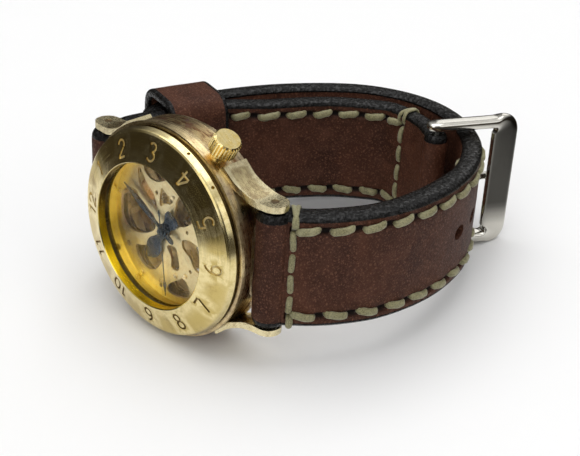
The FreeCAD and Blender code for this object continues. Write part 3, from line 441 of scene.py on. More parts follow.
def makeLeather():
    material, tree, shader = newMaterial("strapLeather", Specular_IOR_Level=0.14, Coat_Roughness=0.3)
    grain = placeGroup(tree, "leatherGrain", Scale=leather["grain"])
    tarnish = placeGroup(tree, "tarnish", Scale=260, Level=0.6, Softness=0.2)
    edge = addNode(tree, "Attribute", attribute_name="edgeMask")
    pit = addNode(tree, "Attribute", attribute_name="pitPaintedShade")
    tone = remap(tree, grain.outputs["Tone"], 0.35, 0.65)
    colour = mixColour(tree, tone, leather["deep"], leather["brown"])
    rubbedAndHighlight = mathNode(tree, "MULTIPLY", tarnish.outputs["Mask"], 0.5)
    colour = mixColour(tree, rubbedAndHighlight, colour, leather["rubbedAndHighlight"])
    pores = remap(tree, grain.outputs["Pore"], 0.0, 1.0, 0.16, 0.0)
    colour = mixColour(tree, pores, colour, leather["deep"])
    # Lighter colour on the grain peaks is a painted highlight
    speck = remap(tree, grain.outputs["Height"], 0.72, 0.92, 0.0, 0.95)
    colour = mixColour(tree, speck, colour, leather["rubbedAndHighlight"])
    fray = mathNode(tree, "MULTIPLY", mathNode(tree, "SUBTRACT", tarnish.outputs["Fine"], 0.5), 0.7)
    ragged = mathNode(tree, "ADD", edge.outputs["Fac"], fray)
    black = remap(tree, ragged, 0.38, 0.62)
    scuffed = remap(tree, tarnish.outputs["Fine"], 0.55, 0.75)
    rim = mixColour(tree, scuffed, leather["edge"], leather["edgeWorn"])
    colour = mixColour(tree, black, colour, rim)
    # The awl pits are coloured near-black as painted shade in the holes
    colour = mixColour(tree, pit.outputs["Fac"], colour, (0.006, 0.004, 0.003))
    link(tree, colour, shader.inputs["Base Color"])
    rough = remap(tree, grain.outputs["Height"], 0.4, 1.1, 0.62, 0.42)
    rough = mathNode(tree, "SUBTRACT", rough, mathNode(tree, "MULTIPLY", black, 0.36))
    link(tree, rough, shader.inputs["Roughness"])
    waxy = placedNoise(tree, addNode(tree, "TexCoord"), Scale=1500.0, Detail=4.0)
    glint = remap(tree, waxy.outputs[0], 0.42, 0.72, 0.0, 0.6)
    link(tree, mathNode(tree, "MULTIPLY", black, glint), shader.inputs["Coat Weight"])
    height = mathNode(tree, "ADD", grain.outputs["Height"],
                      mathNode(tree, "MULTIPLY", mathNode(tree, "MULTIPLY", waxy.outputs[0], black), 4.5))
    addBump(tree, shader, height, 0.5, 0.00026)
    return material


def makeThread():
    material, tree, shader = newMaterial("waxedThread", Roughness=0.6, Sheen_Weight=0.25, Sheen_Roughness=0.4)
    coord = addNode(tree, "TexCoord")
    strands = placedNoise(tree, coord, Scale=3800.0, Detail=4.0)
    tarnish = placeGroup(tree, "tarnish", Scale=320, Level=0.55, Softness=0.2)
    fibre = remap(tree, strands.outputs[0], 0.35, 0.65)
    colour = mixColour(tree, fibre, threadLook["shade"], threadLook["olive"])
    faded = mathNode(tree, "MULTIPLY", tarnish.outputs["Mask"], 0.5)
    colour = mixColour(tree, faded, colour, threadLook["pale"])
    link(tree, colour, shader.inputs["Base Color"])
    addBump(tree, shader, strands.outputs[0], 0.5, 0.0001)
    return material


materials["strapLeather"] = makeLeather()
materials["waxedThread"] = makeThread()
print("materials made")


def newPiece(name, points, faces, body, material):
    mesh = bpy.data.meshes.new(name)
    mesh.from_pydata([spot(*p) for p in points], [], faces)
    mesh.update()
    bm = bmesh.new()
    bm.from_mesh(mesh)
    bmesh.ops.recalc_face_normals(bm, faces=bm.faces)
    bm.to_mesh(mesh)
    bm.free()
    mesh.shade_smooth()
    piece = bpy.data.objects.new(name, mesh)
    bpy.context.scene.collection.objects.link(piece)
    mesh.materials.append(materials[material])
    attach(piece, body)
    return piece


def setMask(piece, name, values):
    attribute = piece.data.attributes.new(name, "FLOAT", "POINT")
    attribute.data.foreach_set("value", values)


def catmull(points, step):
    # even steps along a smooth line through the points: returns (point, tangent, length so far)
    pts = [Vector((*p, 0)) for p in points]
    dense = []
    for i in range(len(pts) - 1):
        p0 = pts[i - 1] if i else pts[0] * 2 - pts[1]
        p1, p2 = pts[i], pts[i + 1]
        p3 = pts[i + 2] if i + 2 < len(pts) else pts[-1] * 2 - pts[-2]
        for k in range(24):
            t = k / 24
            dense.append(0.5 * (2 * p1 + (p2 - p0) * t + (2 * p0 - 5 * p1 + 4 * p2 - p3) * t * t +
                                (3 * p1 - p0 - 3 * p2 + p3) * t ** 3))
    dense.append(pts[-1])
    total = [0.0]
    for a, b in zip(dense, dense[1:]):
        total.append(total[-1] + (b - a).length)
    count = max(2, round(total[-1] / step))
    out, j = [], 0
    for i in range(count + 1):
        want = total[-1] * i / count
        while j < len(dense) - 2 and total[j + 1] < want:
            j += 1
        f = (want - total[j]) / max(1e-9, total[j + 1] - total[j])
        out.append(dense[j].lerp(dense[j + 1], min(1, max(0, f))))
    tangents = [(out[min(i + 1, count)] - out[max(i - 1, 0)]).normalized() for i in range(count + 1)]
    return [(out[i], tangents[i], total[-1] * i / count) for i in range(count + 1)]


def wobble(x, y, z, size):
    return noise.noise(Vector((x / size, y / size, z / size)))


strap = {
    "width": 22.0, "thick": 4.1, "corner": 1.3, "step": 0.4, "layGap": 0.7,
    "stitchIn": 2.55, "stitchPitch": 5.72, "stitchLength": 3.6, "threadRadius": 0.60, "slant": 0.28,
    "rollRadius": 3.15, "tipRound": 2.2, "channel": 0.20, "awlPit": 0.70,
    "longPath": [(8.3, -23.4), (9.2, -24.3), (12.4, -27.4), (16.6, -30.2), (22.6, -33.0), (29.8, -34.4),
                 (38.2, -34.4), (46.8, -32.5), (53.2, -29.5), (58.4, -26.0), (61.9, -22.6), (64.9, -18.6),
                 (67.3, -13.6), (68.6, -8.0), (68.3, -2.0), (66.4, 3.6), (62.6, 9.0), (57.4, 13.7),
                 (51.4, 17.6),
                 (44.8, 20.9), (37.4, 23.6), (29.4, 25.99), (21.4, 28.38)],
    "buckleEnd": [(57.4, -17.3), (59.8, -13.2), (61.2, -8.0), (61.3, -2.8)],
    "barEnd": [(17.0, 23.95), (13.0, 24.2), (9.2, 23.6), (8.4, 22.9)], "looseness": 3.0, "swell": 1.1,
    "holePitch": 7.5, "holeSize": (1.95, 1.4), "tongueHole": (4.5, 1.65),
    "pinX": 56.4, "pinY": -18.6,
}


def inward(tangent):
    return Vector((-tangent.y, tangent.x, 0))


def stripSection(half, thick, corner, step):
    flat, b, loop = half - corner, thick / 2, []
    count = round(2 * flat / step)
    for side in (1, -1):
        for i in range(count + 1):
            loop.append((side * (-flat + 2 * flat * i / count), side * b))
        for k in range(1, 8):
            a = math.pi / 2 - math.pi * k / 8
            loop.append((side * (flat + corner * math.cos(a) ** 0.8),
                         side * math.copysign(b * abs(math.sin(a)) ** 0.75, a)))
    return loop


def smoothStep(value, low, high):
    t = min(1.0, max(0.0, (value - low) / (high - low)))
    return t * t * (3 - 2 * t)


def gridFaces(rows, around):
    faces = []
    for r in range(rows - 1):
        for k in range(around):
            n = (k + 1) % around
            faces.append((r * around + k, r * around + n, (r + 1) * around + n, (r + 1) * around + k))
    return faces


def addCaps(faces, rows, around):
    for row, flip in ((0, True), (rows - 1, False)):
        ring = list(range(row * around, (row + 1) * around))
        faces.append(tuple(ring[::-1] if flip else ring))


# One length of strap leather swept along its line, with stitch channels and awl pits pressed in
def makeStrip(name, path, body, node, first, last, outerRun, innerRun, startTip, endTip, swell=0):
    rows = catmull(path, strap["step"])
    half, b = strap["width"] / 2, strap["thick"] / 2
    section = stripSection(half, strap["thick"], strap["corner"], strap["step"])
    length = rows[-1][2]
    rowAt = half - strap["stitchIn"]
    pitch = strap["stitchPitch"]
    points, edge, pits = [], [], []
    for p, t, s in rows:
        n = inward(t)
        near = round((s - first) / pitch)
        gap = pitch / 2 - abs(s - first - near * pitch)
        stitched = first - 3 < s < last + 3
        shrink = 1.0
        for on, d in ((startTip, s), (endTip, length - s)):
            if on and d < strap["tipRound"]:
                shrink = math.sqrt(max(0.0004, 1 - (1 - d / strap["tipRound"]) ** 2))
        narrow = 1.0 - (0.16 * (1 - smoothStep(length - s, 0, 7)) if endTip else 0)
        for u, v in section:
            top = v > 0
            run = outerRun if top else innerRun
            cut = pit = 0.0
            if stitched and abs(u) < half - strap["corner"] and run[0] - 3 < s < run[1] + 3:
                off = abs(abs(u) - rowAt)
                cut = strap["channel"] * math.exp(-(off / 0.6) ** 2)
                pit = math.exp(-((off / 0.62) ** 4 + (gap / 1.05) ** 4))
            cut += strap["awlPit"] * pit
            v2 = (v if top else v * backDepth(s, swell) / b) * shrink - math.copysign(cut, v)
            v2 += 0.07 * wobble(s, u, 9 if top else -9, 7) + 0.025 * wobble(s, u, 3 if top else -3, 1.4)
            crease = 0.12 * math.exp(-((abs(u) - half + strap["corner"] + 0.1) / 0.3) ** 2)
            v2 -= math.copysign(crease, v)
            u2 = u * narrow * (1 - 0.05 * (1 - shrink)) + 0.07 * wobble(s, 7, u, 9)
            points.append(p - n * v2 + Vector((0, 0, u2)))
            edge.append(smoothStep(abs(u), half - 1.15, half - 0.75) if shrink > 0.98 else 1.0)
            # pits also carry the painted shade in the awl holes
            pits.append(min(1.0, pit * 1.1))
    around = len(section)
    faces = gridFaces(len(rows), around)
    addCaps(faces, len(rows), around)
    piece = newPiece(name, points, faces, body, "strapLeather")
    setMask(piece, "edgeMask", edge)
    setMask(piece, "pitPaintedShade", pits)
    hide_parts(node)
    return piece, rows


def crossingRow(rows):
    up = Vector((0.456, 0.89, 0))
    pin = Vector((strap["pinX"], strap["pinY"], 0))
    far = [r for r in rows if r[0].x > 55]
    return min(far, key=lambda r: abs((r[0] - pin).dot(up)))


def rowNear(rows, s):
    return min(rows, key=lambda r: abs(r[2] - s))


# Slotted punch marks right through the strap, where the tongue can go
def punchHoles(piece, rows):
    cutter = bpy.data.meshes.new("punch")
    points, faces = [], []
    middle = crossingRow(rows)[2]
    for k in range(-3, 4):
        p, t, _ = rowNear(rows, middle + k * strap["holePitch"])
        n = inward(t)
        along, across = strap["tongueHole"] if k == 0 else strap["holeSize"]
        base, count = len(points), 40
        for side in (-4, 4):
            for i in range(count):
                a = 2 * math.pi * i / count
                x = math.copysign(abs(math.cos(a)) ** 0.85, math.cos(a)) * along
                points.append(spot(*(p + t * x + Vector((0, 0, across * math.sin(a))) + n * side)))
        faces += [(base + i, base + (i + 1) % count, base + count + (i + 1) % count, base + count + i)
                  for i in range(count)]
        faces += [tuple(range(base + count - 1, base - 1, -1)), tuple(range(base + count, base + 2 * count))]
    cutter.from_pydata(points, [], faces)
    cutter.update()
    tool = bpy.data.objects.new("punch", cutter)
    bpy.context.scene.collection.objects.link(tool)
    bm = bmesh.new()
    bm.from_mesh(cutter)
    bmesh.ops.recalc_face_normals(bm, faces=bm.faces)
    bm.to_mesh(cutter)
    bm.free()
    cut = piece.modifiers.new("punched", "BOOLEAN")
    cut.operation, cut.solver, cut.object = "DIFFERENCE", "EXACT", tool
    graph = bpy.context.evaluated_depsgraph_get()
    mesh = bpy.data.meshes.new_from_object(piece.evaluated_get(graph))
    piece.modifiers.clear()
    piece.data = mesh
    mesh.set_sharp_from_angle(angle=math.radians(38))
    bpy.data.objects.remove(tool)
    bpy.data.meshes.remove(cutter)


# A short run of flattened thread along centre line points, with the direction across it
def threadTube(line, across, radius, points, faces, sides=10):
    base = len(points)
    count = len(line)
    for i in range(count):
        a, b = line[max(0, i - 1)], line[min(count - 1, i + 1)]
        t = (b - a).normalized()
        e2 = (across - t * across.dot(t)).normalized()
        e1 = t.cross(e2)
        taper = 0.8 + 0.2 * math.sin(math.pi * (i + 0.5) / count)
        for k in range(sides):
            w = 2 * math.pi * k / sides
            twist = 1 + 0.07 * math.cos(3 * w + i * 1.3)
            ring = e1 * math.cos(w) * 0.85 + e2 * math.sin(w) * 1.25
            points.append(line[i] + ring * (radius * taper * twist))
    faces += [tuple(base + j for j in f) for f in gridFaces(count, sides)]
    faces.append(tuple(range(base + sides - 1, base - 1, -1)))
    faces.append(tuple(range(base + (count - 1) * sides, base + count * sides)))


# An arch that leaves one awl hole and dives into the next: (share along, height) pairs
def stitchArch(top, deep, count=15):
    arch = []
    for i in range(count):
        a = math.pi * (-0.5 + i / (count - 1))
        share = math.copysign(abs(math.sin(a)) ** 0.7, a)
        arch.append((share, -deep + (top + deep) * max(0.0, math.cos(a)) ** 0.55))
    return arch


def backDepth(s, swell):
    return strap["thick"] / 2 + (strap["swell"] * (1 - smoothStep(s, swell - 30, swell - 12)) if swell else 0)


def makeStitches(name, rows, body, first, last, runs, swell=0):
    points, faces = [], []
    rng = random.Random(len(name) * 7 + 3)
    half, b = strap["width"] / 2, strap["thick"] / 2
    rowAt = half - strap["stitchIn"]
    reach = strap["stitchLength"] / 2
    for side in (1, -1):
        k = 0
        while first + k * strap["stitchPitch"] <= last:
            centre = first + k * strap["stitchPitch"]
            k += 1
            for face, run in ((1, runs[0]), (-1, runs[1])):
                if not run[0] <= centre <= run[1]:
                    continue
                tilt = rng.uniform(-0.10, 0.10) + strap["slant"] * face * side
                lift = rng.uniform(0.02, 0.14)
                size = reach * rng.uniform(0.92, 1.05)
                line = []
                for f, height in stitchArch(lift + 0.18, 0.9):
                    p, t, s = rowNear(rows, centre + f * size)
                    exact = p + t * (centre + f * size - s)
                    level = (b if face > 0 else backDepth(centre, swell)) + height
                    line.append(exact - inward(t) * (face * level) + Vector((0, 0, side * rowAt + f * tilt)))
                threadTube(line, Vector((0, 0, 1)), strap["threadRadius"], points, faces)
    return newPiece(name, points, faces, body, "waxedThread")


# The leather turned round a bar: dark ends, a step where the lap lies, and slight dents
def makeRoll(name, cx, cy, radius, body, half, lapAngle):
    points, edge, pits = [], [], []
    around, rows = 88, 64
    for r in range(rows + 1):
        f = -1 + 2 * r / rows
        u = f * half
        end = max(0.0, abs(u) - (half - 1.5)) / 1.5
        shrink = math.sqrt(max(0.0, 1 - 0.30 * end ** 2.4))
        for k in range(around):
            a = 2 * math.pi * k / around
            lap = (a - lapAngle) % (2 * math.pi)
            step = 0.16 * (1 - smoothStep(lap, 0, 0.12)) * smoothStep(lap, -0.01, 0.02)
            q = radius * shrink - step + 0.10 * wobble(u, 3 * math.cos(a), 3 * math.sin(a), 3.5)
            q += 0.03 * wobble(u, 3 * math.cos(a), 3 * math.sin(a), 0.9)
            points.append(Vector((cx + q * math.cos(a), cy + q * math.sin(a), u)))
            edge.append(smoothStep(abs(u), half - 1.5, half - 1.1))
            pits.append(0.0)
    faces = gridFaces(rows + 1, around)
    for row, sign in ((0, -1), (rows, 1)):
        base = row * around
        last = base
        for scale, out in ((0.86, 0.22), (0.66, 0.12), (0.46, 0.20), (0.26, 0.02)):
            start = len(points)
            for k in range(around):
                p = points[base + k]
                points.append(Vector((cx + (p.x - cx) * scale, cy + (p.y - cy) * scale, sign * (half + out))))
                edge.append(1.0)
                pits.append(0.0)
            for k in range(around):
                n = (k + 1) % around
                faces.append((last + k, last + n, start + n, start + k))
            last = start
        faces.append(tuple(range(last, last + around)))
    piece = newPiece(name, points, faces, body, "strapLeather")
    setMask(piece, "edgeMask", edge)
    setMask(piece, "pitPaintedShade", pits)
    return piece


# A seam of running stitches across the strap beside a fold, with thread wound over each edge
def makeLapStitches(name, rows, body, at, flip, faces=(1, -1), swell=0):
    points, polygons = [], []
    rng = random.Random(41 if flip else 17)
    half, b = strap["width"] / 2, strap["thick"] / 2
    length = rows[-1][2]
    s = length - at if flip else at
    p, t, q = rowNear(rows, s)
    p, n = p + t * (s - q), inward(t)
    count, span = 4, half - 2.7
    for face in faces:
        for i in range(count):
            middle = span * (-1 + (2 * i + 1) / count)
            reach = span / count * rng.uniform(0.74, 0.82)
            slant = rng.uniform(-0.15, 0.15)
            line = []
            for f, height in stitchArch(0.24, 0.9):
                level = (b if face > 0 else backDepth(s, swell)) + height
                line.append(p - n * (face * level) + t * (slant * f) + Vector((0, 0, middle + reach * f)))
            threadTube(line, t, 0.46, points, polygons)
    for side in (1, -1):
        for shift, lean in ((0.0, 0.5), (0.45, -0.5)):
            line = []
            for j in range(19):
                a = math.pi / 2 - math.pi * j / 18
                u = half - 2.6 + 2.85 * math.cos(a) ** 0.6
                v = math.copysign(((b if a > 0 else backDepth(s, swell)) + 0.2) * abs(math.sin(a)) ** 0.5, a)
                dip = 0.9 if j in (0, 18) else 0.0
                line.append(p + t * (shift + lean * math.sin(a)) - n * (v - math.copysign(dip, v)) +
                            Vector((0, 0, side * u)))
            threadTube(line, t, 0.36, points, polygons)
    return newPiece(name, points, polygons, body, "waxedThread")


def innerLayer(rows):
    shift = strap["thick"] + 0.1 + strap["layGap"]
    run = [p + inward(t) * (shift + strap["looseness"] * min(1.0, max(0.0, (p.x - 36) / 10)))
           for p, t, _ in rows if p.y > 5 and p.x > 24]
    every = max(1, round(9 / strap["step"]))
    return strap["buckleEnd"] + [(p.x, p.y) for p in run[::every] if p.x > 19.5] + strap["barEnd"]


longRows = catmull(strap["longPath"], strap["step"])
longLength = longRows[-1][2]
crossAt = crossingRow(longRows)[2]
longRun = (4.5, longLength - 3.5)
longStrip, longRows = makeStrip("strapLong", strap["longPath"], "long_strap", "strap_long", *longRun,
                                (0, 999), (0, crossAt - 8), False, True, crossAt)
punchHoles(longStrip, longRows)
makeStitches("strapLongStitches", longRows, "long_strap", *longRun, ((0, 999), (0, crossAt - 8)), crossAt)
makeRoll("strapLongRoll", 7.5, -barReach, strap["rollRadius"], "long_strap", strap["width"] / 2, 0.4)
makeLapStitches("strapLongLap", longRows, "long_strap", 2.1, False, swell=crossAt)
print("long strap made", len(longStrip.data.vertices))

innerPath = innerLayer(longRows)
shortLength = catmull(innerPath, strap["step"])[-1][2]
shortRun = (12.6, shortLength - 4.5)
shortStrip, shortRows = makeStrip("strapShort", innerPath, "short_strap", "strap_short", *shortRun,
                                  (shortLength - 12, 999), (0, 999), False, False)
makeStitches("strapShortStitches", shortRows, "short_strap", *shortRun, ((shortLength - 12, 999), (0, 999)))
makeRoll("strapShortRoll", 7.5, barReach, strap["rollRadius"], "short_strap", strap["width"] / 2, 5.4)
makeRoll("strapBuckleRoll", strap["pinX"], strap["pinY"], 2.35, "short_strap", strap["width"] / 2, 1.2)
makeLapStitches("strapShortLap", shortRows, "short_strap", 2.1, True)
makeLapStitches("strapBuckleLap", shortRows, "short_strap", 10.0, False, (-1,))
print("short strap made", len(shortStrip.data.vertices))

keeper = {"x": 29.4, "y": 25.99, "dirX": -0.9583, "dirY": 0.2863, "length": 12.6, "wall": 1.7, "round": 3.3,
          "over": 0.65, "under": 7.3, "beside": 0.6}


# Loop of leather round both layers, with rubbed dark edges
def makeKeeper():
    along = Vector((keeper["dirX"], keeper["dirY"], 0)).normalized()
    into = inward(along)
    centre = Vector((keeper["x"], keeper["y"], 0))
    wall = keeper["wall"]
    top = -(strap["thick"] / 2 + keeper["over"]) - wall / 2
    low = keeper["under"] + strap["layGap"] + wall / 2
    half = strap["width"] / 2 + keeper["beside"] + wall / 2
    corner, line = keeper["round"], []
    for sx, sy, start in ((1, 1, 0), (-1, 1, 1), (-1, -1, 2), (1, -1, 3)):
        cx, cy = sx * (half - corner), (low - corner) if sy > 0 else (top + corner)
        for k in range(9):
            a = math.pi / 2 * (start + k / 8)
            line.append((cx + corner * math.cos(a), cy + corner * math.sin(a)))
    dense = []
    for i in range(len(line)):
        a, b = Vector(line[i]), Vector(line[(i + 1) % len(line)])
        steps = max(1, round((b - a).length / 0.6))
        dense += [a.lerp(b, k / steps) for k in range(steps)]
    halfLength = keeper["length"] / 2
    section = stripSection(halfLength, wall, 0.65, 0.6)
    points, edge = [], []
    count = len(dense)
    for i in range(count):
        t = (dense[(i + 1) % count] - dense[i - 1]).normalized()
        out = Vector((t.y, -t.x))
        for u, v in section:
            w = v + 0.05 * wobble(u, dense[i].x, dense[i].y, 4)
            q = dense[i] + out * w
            shift = along * (u + 0.08 * wobble(q.x, q.y, 5, 6)) + into * q.y
            points.append(centre + shift + Vector((0, 0, q.x)))
            edge.append(smoothStep(abs(u), halfLength - 1.25, halfLength - 0.8))
    around = len(section)
    faces = gridFaces(count, around)
    last = (count - 1) * around
    faces += [(last + k, last + (k + 1) % around, (k + 1) % around, k) for k in range(around)]
    piece = newPiece("strapKeeper", points, faces, "keeper", "strapLeather")
    setMask(piece, "edgeMask", edge)
    setMask(piece, "pitPaintedShade", [0.0] * len(points))
    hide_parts("strap_keeper")


makeKeeper()
print("keeper made")

buckle = {"dirX": 0.89, "dirY": -0.456, "span": 15.0, "arm": 2.1, "bar": 5.5, "armTall": 3.4, "barTall": 2.0,
          "corner": 2.4, "inside": 11.6}


def makeBuckle():
    u = Vector((buckle["dirX"], buckle["dirY"], 0)).normalized()
    w = Vector((-u.y, u.x, 0))
    base = Vector((strap["pinX"], strap["pinY"], 0))
    side = buckle["inside"] + buckle["arm"] / 2
    far, corner = buckle["span"], buckle["corner"]
    line = [(-2.1, -side), (-1.0, -side)] + [(x, -side) for x in range(1, 12, 2)]
    line += [(far - corner + corner * math.sin(a), -side + corner - corner * math.cos(a))
             for a in (math.pi / 2 * k / 10 for k in range(11))]
    line += [(far, z) for z in range(-8, 9)]
    line += [(a, -z) for a, z in reversed(line[:19])]
    points, shade, sides = [], [], 28
    count = len(line)
    for i, (a, z) in enumerate(line):
        before, after = Vector(line[max(0, i - 1)]), Vector(line[min(count - 1, i + 1)])
        t = (after - before).normalized()
        across = Vector((t.y, -t.x))
        bar = smoothStep(a, far - 2.6, far - 0.2)
        wide = (buckle["arm"] * (1 - bar) + buckle["bar"] * bar) / 2
        tall = (buckle["armTall"] * (1 - bar) + buckle["barTall"] * bar) / 2
        tip = min(i, count - 1 - i)
        if tip == 0:
            wide, tall = wide * 0.55, tall * 0.55
        for k in range(sides):
            s = 2 * math.pi * k / sides
            x = math.copysign(abs(math.cos(s)) ** 0.62, math.cos(s)) * wide
            y = math.copysign(abs(math.sin(s)) ** 0.7, math.sin(s)) * tall
            q = Vector((a, z)) + across * x
            # Painted shade over the bar face, fading at its rims and toward its lower end
            shade.append(bar * (1 - smoothStep(abs(x) / wide, 0.82, 0.98)) * smoothStep(z, -11, -5))
            points.append(base + u * q.x + w * (y + 0.02 * wobble(q.x, q.y, y, 2)) + Vector((0, 0, q.y)))
    faces = gridFaces(count, sides)
    addCaps(faces, count, sides)
    piece = newPiece("buckleFrame", points, faces, "buckle", "buckleNickel")
    setMask(piece, "barPaintedShade", shade)
    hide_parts("buckle_frame")
    soften = piece.modifiers.new("soften", "SUBSURF")
    soften.levels = soften.render_levels = 1


makeBuckle()
print("buckle made")

hands = {
    "hourHand": {"node": "hour_hand", "body": "hours", "clock": 302.4, "depth": 2.25, "thick": 0.24,
                 "outline": [(-4.2, 0.9), (-3.9, 1.6), (-2.6, 1.75), (-1.3, 1.15), (0, 1.2), (1.6, 0.75),
                             (3.0, 1.0), (4.6, 1.75), (6.0, 1.85), (7.2, 1.35),
                             (8.1, 0.55), (8.5, 0.08)], "boss": 1.3},
    "minuteHand": {"node": "minute_hand", "body": "minutes", "clock": 28.4, "depth": 1.68, "thick": 0.24,
                   "outline": [(-3.3, 0.12), (-2.9, 0.6), (-1.6, 0.7), (0, 0.6), (2.0, 0.45), (4.2, 0.65),
                               (7.0, 0.88), (9.2, 0.62), (11.0, 0.28), (12.3, 0.06)], "boss": 1.1},
    "secondsHand": {"node": "seconds_hand", "body": "seconds", "clock": 262.0, "depth": 1.2, "thick": 0.2,
                    "outline": [(-4.2, 0.12), (-3.6, 0.38), (-2.8, 0.14), (0, 0.14), (5.0, 0.12), (9.4, 0.11),
                                (10.0, 0.3), (10.6, 0.48), (11.4, 0.22), (12.0, 0.1), (12.7, 0.05)],
                    "boss": 0.7},
}


# Crowned leaf of steel with a round boss, pressed on its arbor
def makeHand(name, look):
    line = catmull(look["outline"], 0.22)
    turn = math.radians(look["clock"])
    along, side = Vector((0, math.cos(turn), math.sin(turn))), Vector((0, -math.sin(turn), math.cos(turn)))
    points, across, back = [], 9, look["depth"] + look["thick"]
    for p, _, _ in line:
        half = max(0.03, p.y)
        for k in range(across):
            f = -1 + 2 * k / (across - 1)
            rise = look["thick"] * (0.35 + 0.65 * math.sqrt(max(0.0, 1 - f * f)))
            points.append(Vector((back - rise, 0, 0)) + along * p.x + side * (half * f))
        points += [Vector((back, 0, 0)) + along * p.x + side * (half * f)
                   for f in (0.9, 0.0, -0.9)]
    around = across + 3
    faces = gridFaces(len(line), around)
    addCaps(faces, len(line), around)
    base, sides = len(points), 40
    rings = ((0.0, 1.0), (-0.22, 1.0), (-0.30, 0.9), (-0.30, 0.5), (-0.22, 0.42))
    for lift, scale in rings:
        for k in range(sides):
            a = 2 * math.pi * k / sides
            points.append(Vector((look["depth"] + 0.1 + lift, look["boss"] * scale * math.cos(a),
                                  look["boss"] * scale * math.sin(a))))
    faces += [tuple(base + i for i in f) for f in gridFaces(len(rings), sides)]
    faces.append(tuple(range(base + 4 * sides, base + 5 * sides)))
    faces.append(tuple(range(base + sides - 1, base - 1, -1)))
    piece = newPiece(name, points, faces, look["body"], "handSteel")
    piece.data.set_sharp_from_angle(angle=math.radians(50))
    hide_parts(look["node"])


for handName, look in hands.items():
    makeHand(handName, look)
print("hands made")

finishes = {
    "bezelBrass": ["bezel"],
    "bandBrass": ["case_band", "case_ring", "case_back"],
    "lugBrass": ["lug_6_up", "lug_6_down", "lug_12_up", "lug_12_down"],
    "innerRingGold": ["inner_ring"],
    "crownGold": ["crown", "crown_tube"],
    "platePaintedShade": ["main_plate"],
    "plateGilt": ["dial_plate", "barrel_bridge", "train_bridge", "balance_cock", "pallet_cock",
                  "movement_ring", "dial_pillars"],
    "wheelBrass": ["fourth_wheel", "centre_wheel", "hour_wheel", "minute_wheel", "third_wheel",
                   "escape_wheel", "balance_wheel", "dial_screws", "minute_post", "click_post"],
    "barrelCopper": ["barrel"],
    "wheelSteel": ["cannon_pinion", "clutch_wheel", "winding_stem", "winding_pinion", "crown_wheel",
                   "idler_wheel", "ratchet_wheel", "click", "pallet_fork", "bridge_screws", "hairspring"],
    "pinPaintedShade": ["lug_bar_12", "lug_bar_6"],
    "handSteel": ["hour_hand", "minute_hand", "seconds_hand"],
    "buckleNickel": ["buckle_frame", "buckle_bar", "buckle_tongue"],
    "rubyJewel": ["jewels"],
    "crystalGlass": ["crystal"],
    "backGlass": ["back_glass"],
    "gasketRubber": ["crystal_gasket"],
    "strapLeather": ["strap_long", "strap_short", "strap_keeper"],
}
for finish, nodes in finishes.items():
    for nodeName in nodes:
        node = frame["nodes"][nodeName]
        node.data.materials.clear()
        node.data.materials.append(materials[finish])
missing = [n for n in frame["nodes"] if n not in sum(finishes.values(), [])]
print("finishes given", "missing", missing)

studio = {"backdrop": (0.93, 0.93, 0.925), "hazeFrom": (0.35, 1.0),
          "floor": (0.93, 0.93, 0.93), "wall": (0.05, 0.045, 0.04), "ceiling": (1.0, 1.0, 1.0),
          "horizon": (0.25, 0.9), "worldLevel": 0.85, "sheetEnd": (0.085, 0.15),
          "lens": 86.89655, "floorReach": 3.0, "floorGap": 0.00005,
          "beyondSheet": (0.05, 0.042, 0.03),
          "eye": (-149.574, -169.069, 118.028), "ahead": (0.658, 0.599, -0.456),
          "right": (0.694, -0.717, 0.06), "up": (0.291, 0.356, 0.888)}


def inRow(v):
    return axisX * v[0] + axisY * v[1] + axisZ * v[2]


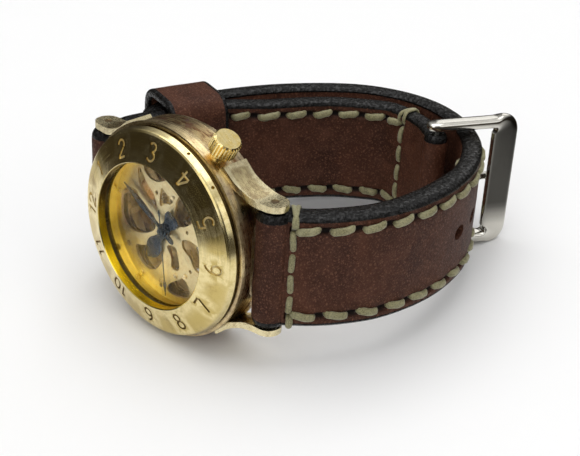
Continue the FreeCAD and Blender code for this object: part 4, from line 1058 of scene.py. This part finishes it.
def makeStudio():
    scene = bpy.context.scene
    data = bpy.data.cameras.new("studioCamera")
    data.lens = studio["lens"]
    data.sensor_width = 36
    data.clip_start = 0.01
    camera = bpy.data.objects.new("studioCamera", data)
    scene.collection.objects.link(camera)
    right, up, back = inRow(studio["right"]), inRow(studio["up"]), -inRow(studio["ahead"])
    turn = Matrix((right, up, back)).transposed().to_4x4()
    camera.matrix_world = Matrix.Translation(spot(*studio["eye"])) @ turn
    scene.camera = camera
    scene.view_settings.view_transform = "Standard"
    scene.view_settings.exposure = 0

    material, tree, shader = newMaterial("paleFloor", Roughness=0.85, Specular_IOR_Level=0.15)
    tarnish = placeGroup(tree, "tarnish", Scale=6, Level=0.5, Softness=0.4)
    shaded = tuple(0.98 * c for c in studio["floor"])
    link(tree, mixColour(tree, tarnish.outputs["Mask"], studio["floor"], shaded), shader.inputs["Base Color"])
    path = addNode(tree, "LightPath")
    coord = addNode(tree, "TexCoord")
    offset = addNode(tree, "VectorMath", operation="DISTANCE")
    link(tree, coord.outputs["Object"], offset.inputs[0])
    offset.inputs[1].default_value = (origin.x, origin.y, 0)
    far = remap(tree, offset.outputs["Value"], studio["sheetEnd"][0], studio["sheetEnd"][1])
    gloss = mathNode(tree, "MULTIPLY", path.outputs["Is Glossy Ray"], far)
    beyond = addNode(tree, "BsdfDiffuse")
    beyond.inputs["Color"].default_value = studio["beyondSheet"] + (1,)
    choose = addNode(tree, "MixShader")
    link(tree, gloss, choose.inputs[0])
    link(tree, shader.outputs[0], choose.inputs[1])
    link(tree, beyond.outputs[0], choose.inputs[2])
    haze = addNode(tree, "Emission")
    haze.inputs["Color"].default_value = studio["backdrop"] + (1,)
    misty = addNode(tree, "MixShader")
    distant = remap(tree, offset.outputs["Value"], studio["hazeFrom"][0], studio["hazeFrom"][1])
    link(tree, mathNode(tree, "MULTIPLY", path.outputs["Is Camera Ray"], distant), misty.inputs[0])
    link(tree, choose.outputs[0], misty.inputs[1])
    link(tree, haze.outputs[0], misty.inputs[2])
    link(tree, misty.outputs[0], tree.nodes["Material Output"].inputs["Surface"])
    mesh = bpy.data.meshes.new("paleFloor")
    size = studio["floorReach"]
    corners = [(-size, -size, 0), (size, -size, 0), (size, size, 0), (-size, size, 0)]
    mesh.from_pydata(corners, [], [(0, 1, 2, 3)])
    mesh.materials.append(material)
    floor = bpy.data.objects.new("paleFloor", mesh)
    floor.location.z = cadBox[0][2] - studio["floorGap"]
    scene.collection.objects.link(floor)

    world = bpy.data.worlds.new("studioWorld")
    scene.world = world
    world.use_nodes = True
    sky = world.node_tree
    coord = addNode(sky, "TexCoord")
    split = addNode(sky, "SeparateXYZ")
    link(sky, coord.outputs["Generated"], split.inputs[0])
    height = remap(sky, split.outputs[2], studio["horizon"][0], studio["horizon"][1])
    room = mixColour(sky, height, studio["wall"], studio["ceiling"])
    backdrop = tuple(c / studio["worldLevel"] for c in studio["backdrop"])
    seen = addNode(sky, "LightPath").outputs["Is Camera Ray"]
    link(sky, mixColour(sky, seen, room, backdrop), sky.nodes["Background"].inputs["Color"])
    sky.nodes["Background"].inputs["Strength"].default_value = studio["worldLevel"]
    middle = (Vector(cadBox[0]) + Vector(cadBox[1])) / 2
    lamps = {
        "overhead": {"at": (0.05, 0.10, 0.85), "size": 0.9, "watts": 4.0},
        "leftPanel": {"at": (-0.75, -0.25, 0.45), "size": 0.6, "watts": 1.5},
        "frontPanel": {"at": (0.10, -0.85, 0.40), "size": 0.5, "watts": 0.8},
        "rightStrip": {"at": (0.75, 0.30, 0.35), "size": 0.4, "watts": 0.6},
    }
    for name, lamp in lamps.items():
        light = bpy.data.lights.new(name, "AREA")
        light.shape = "SQUARE"
        light.size = lamp["size"]
        light.energy = lamp["watts"]
        holder = bpy.data.objects.new(name, light)
        scene.collection.objects.link(holder)
        holder.location = middle + Vector(lamp["at"])
        holder.rotation_euler = (middle - holder.location).to_track_quat("-Z", "Y").to_euler()


makeStudio()
print("studio made")
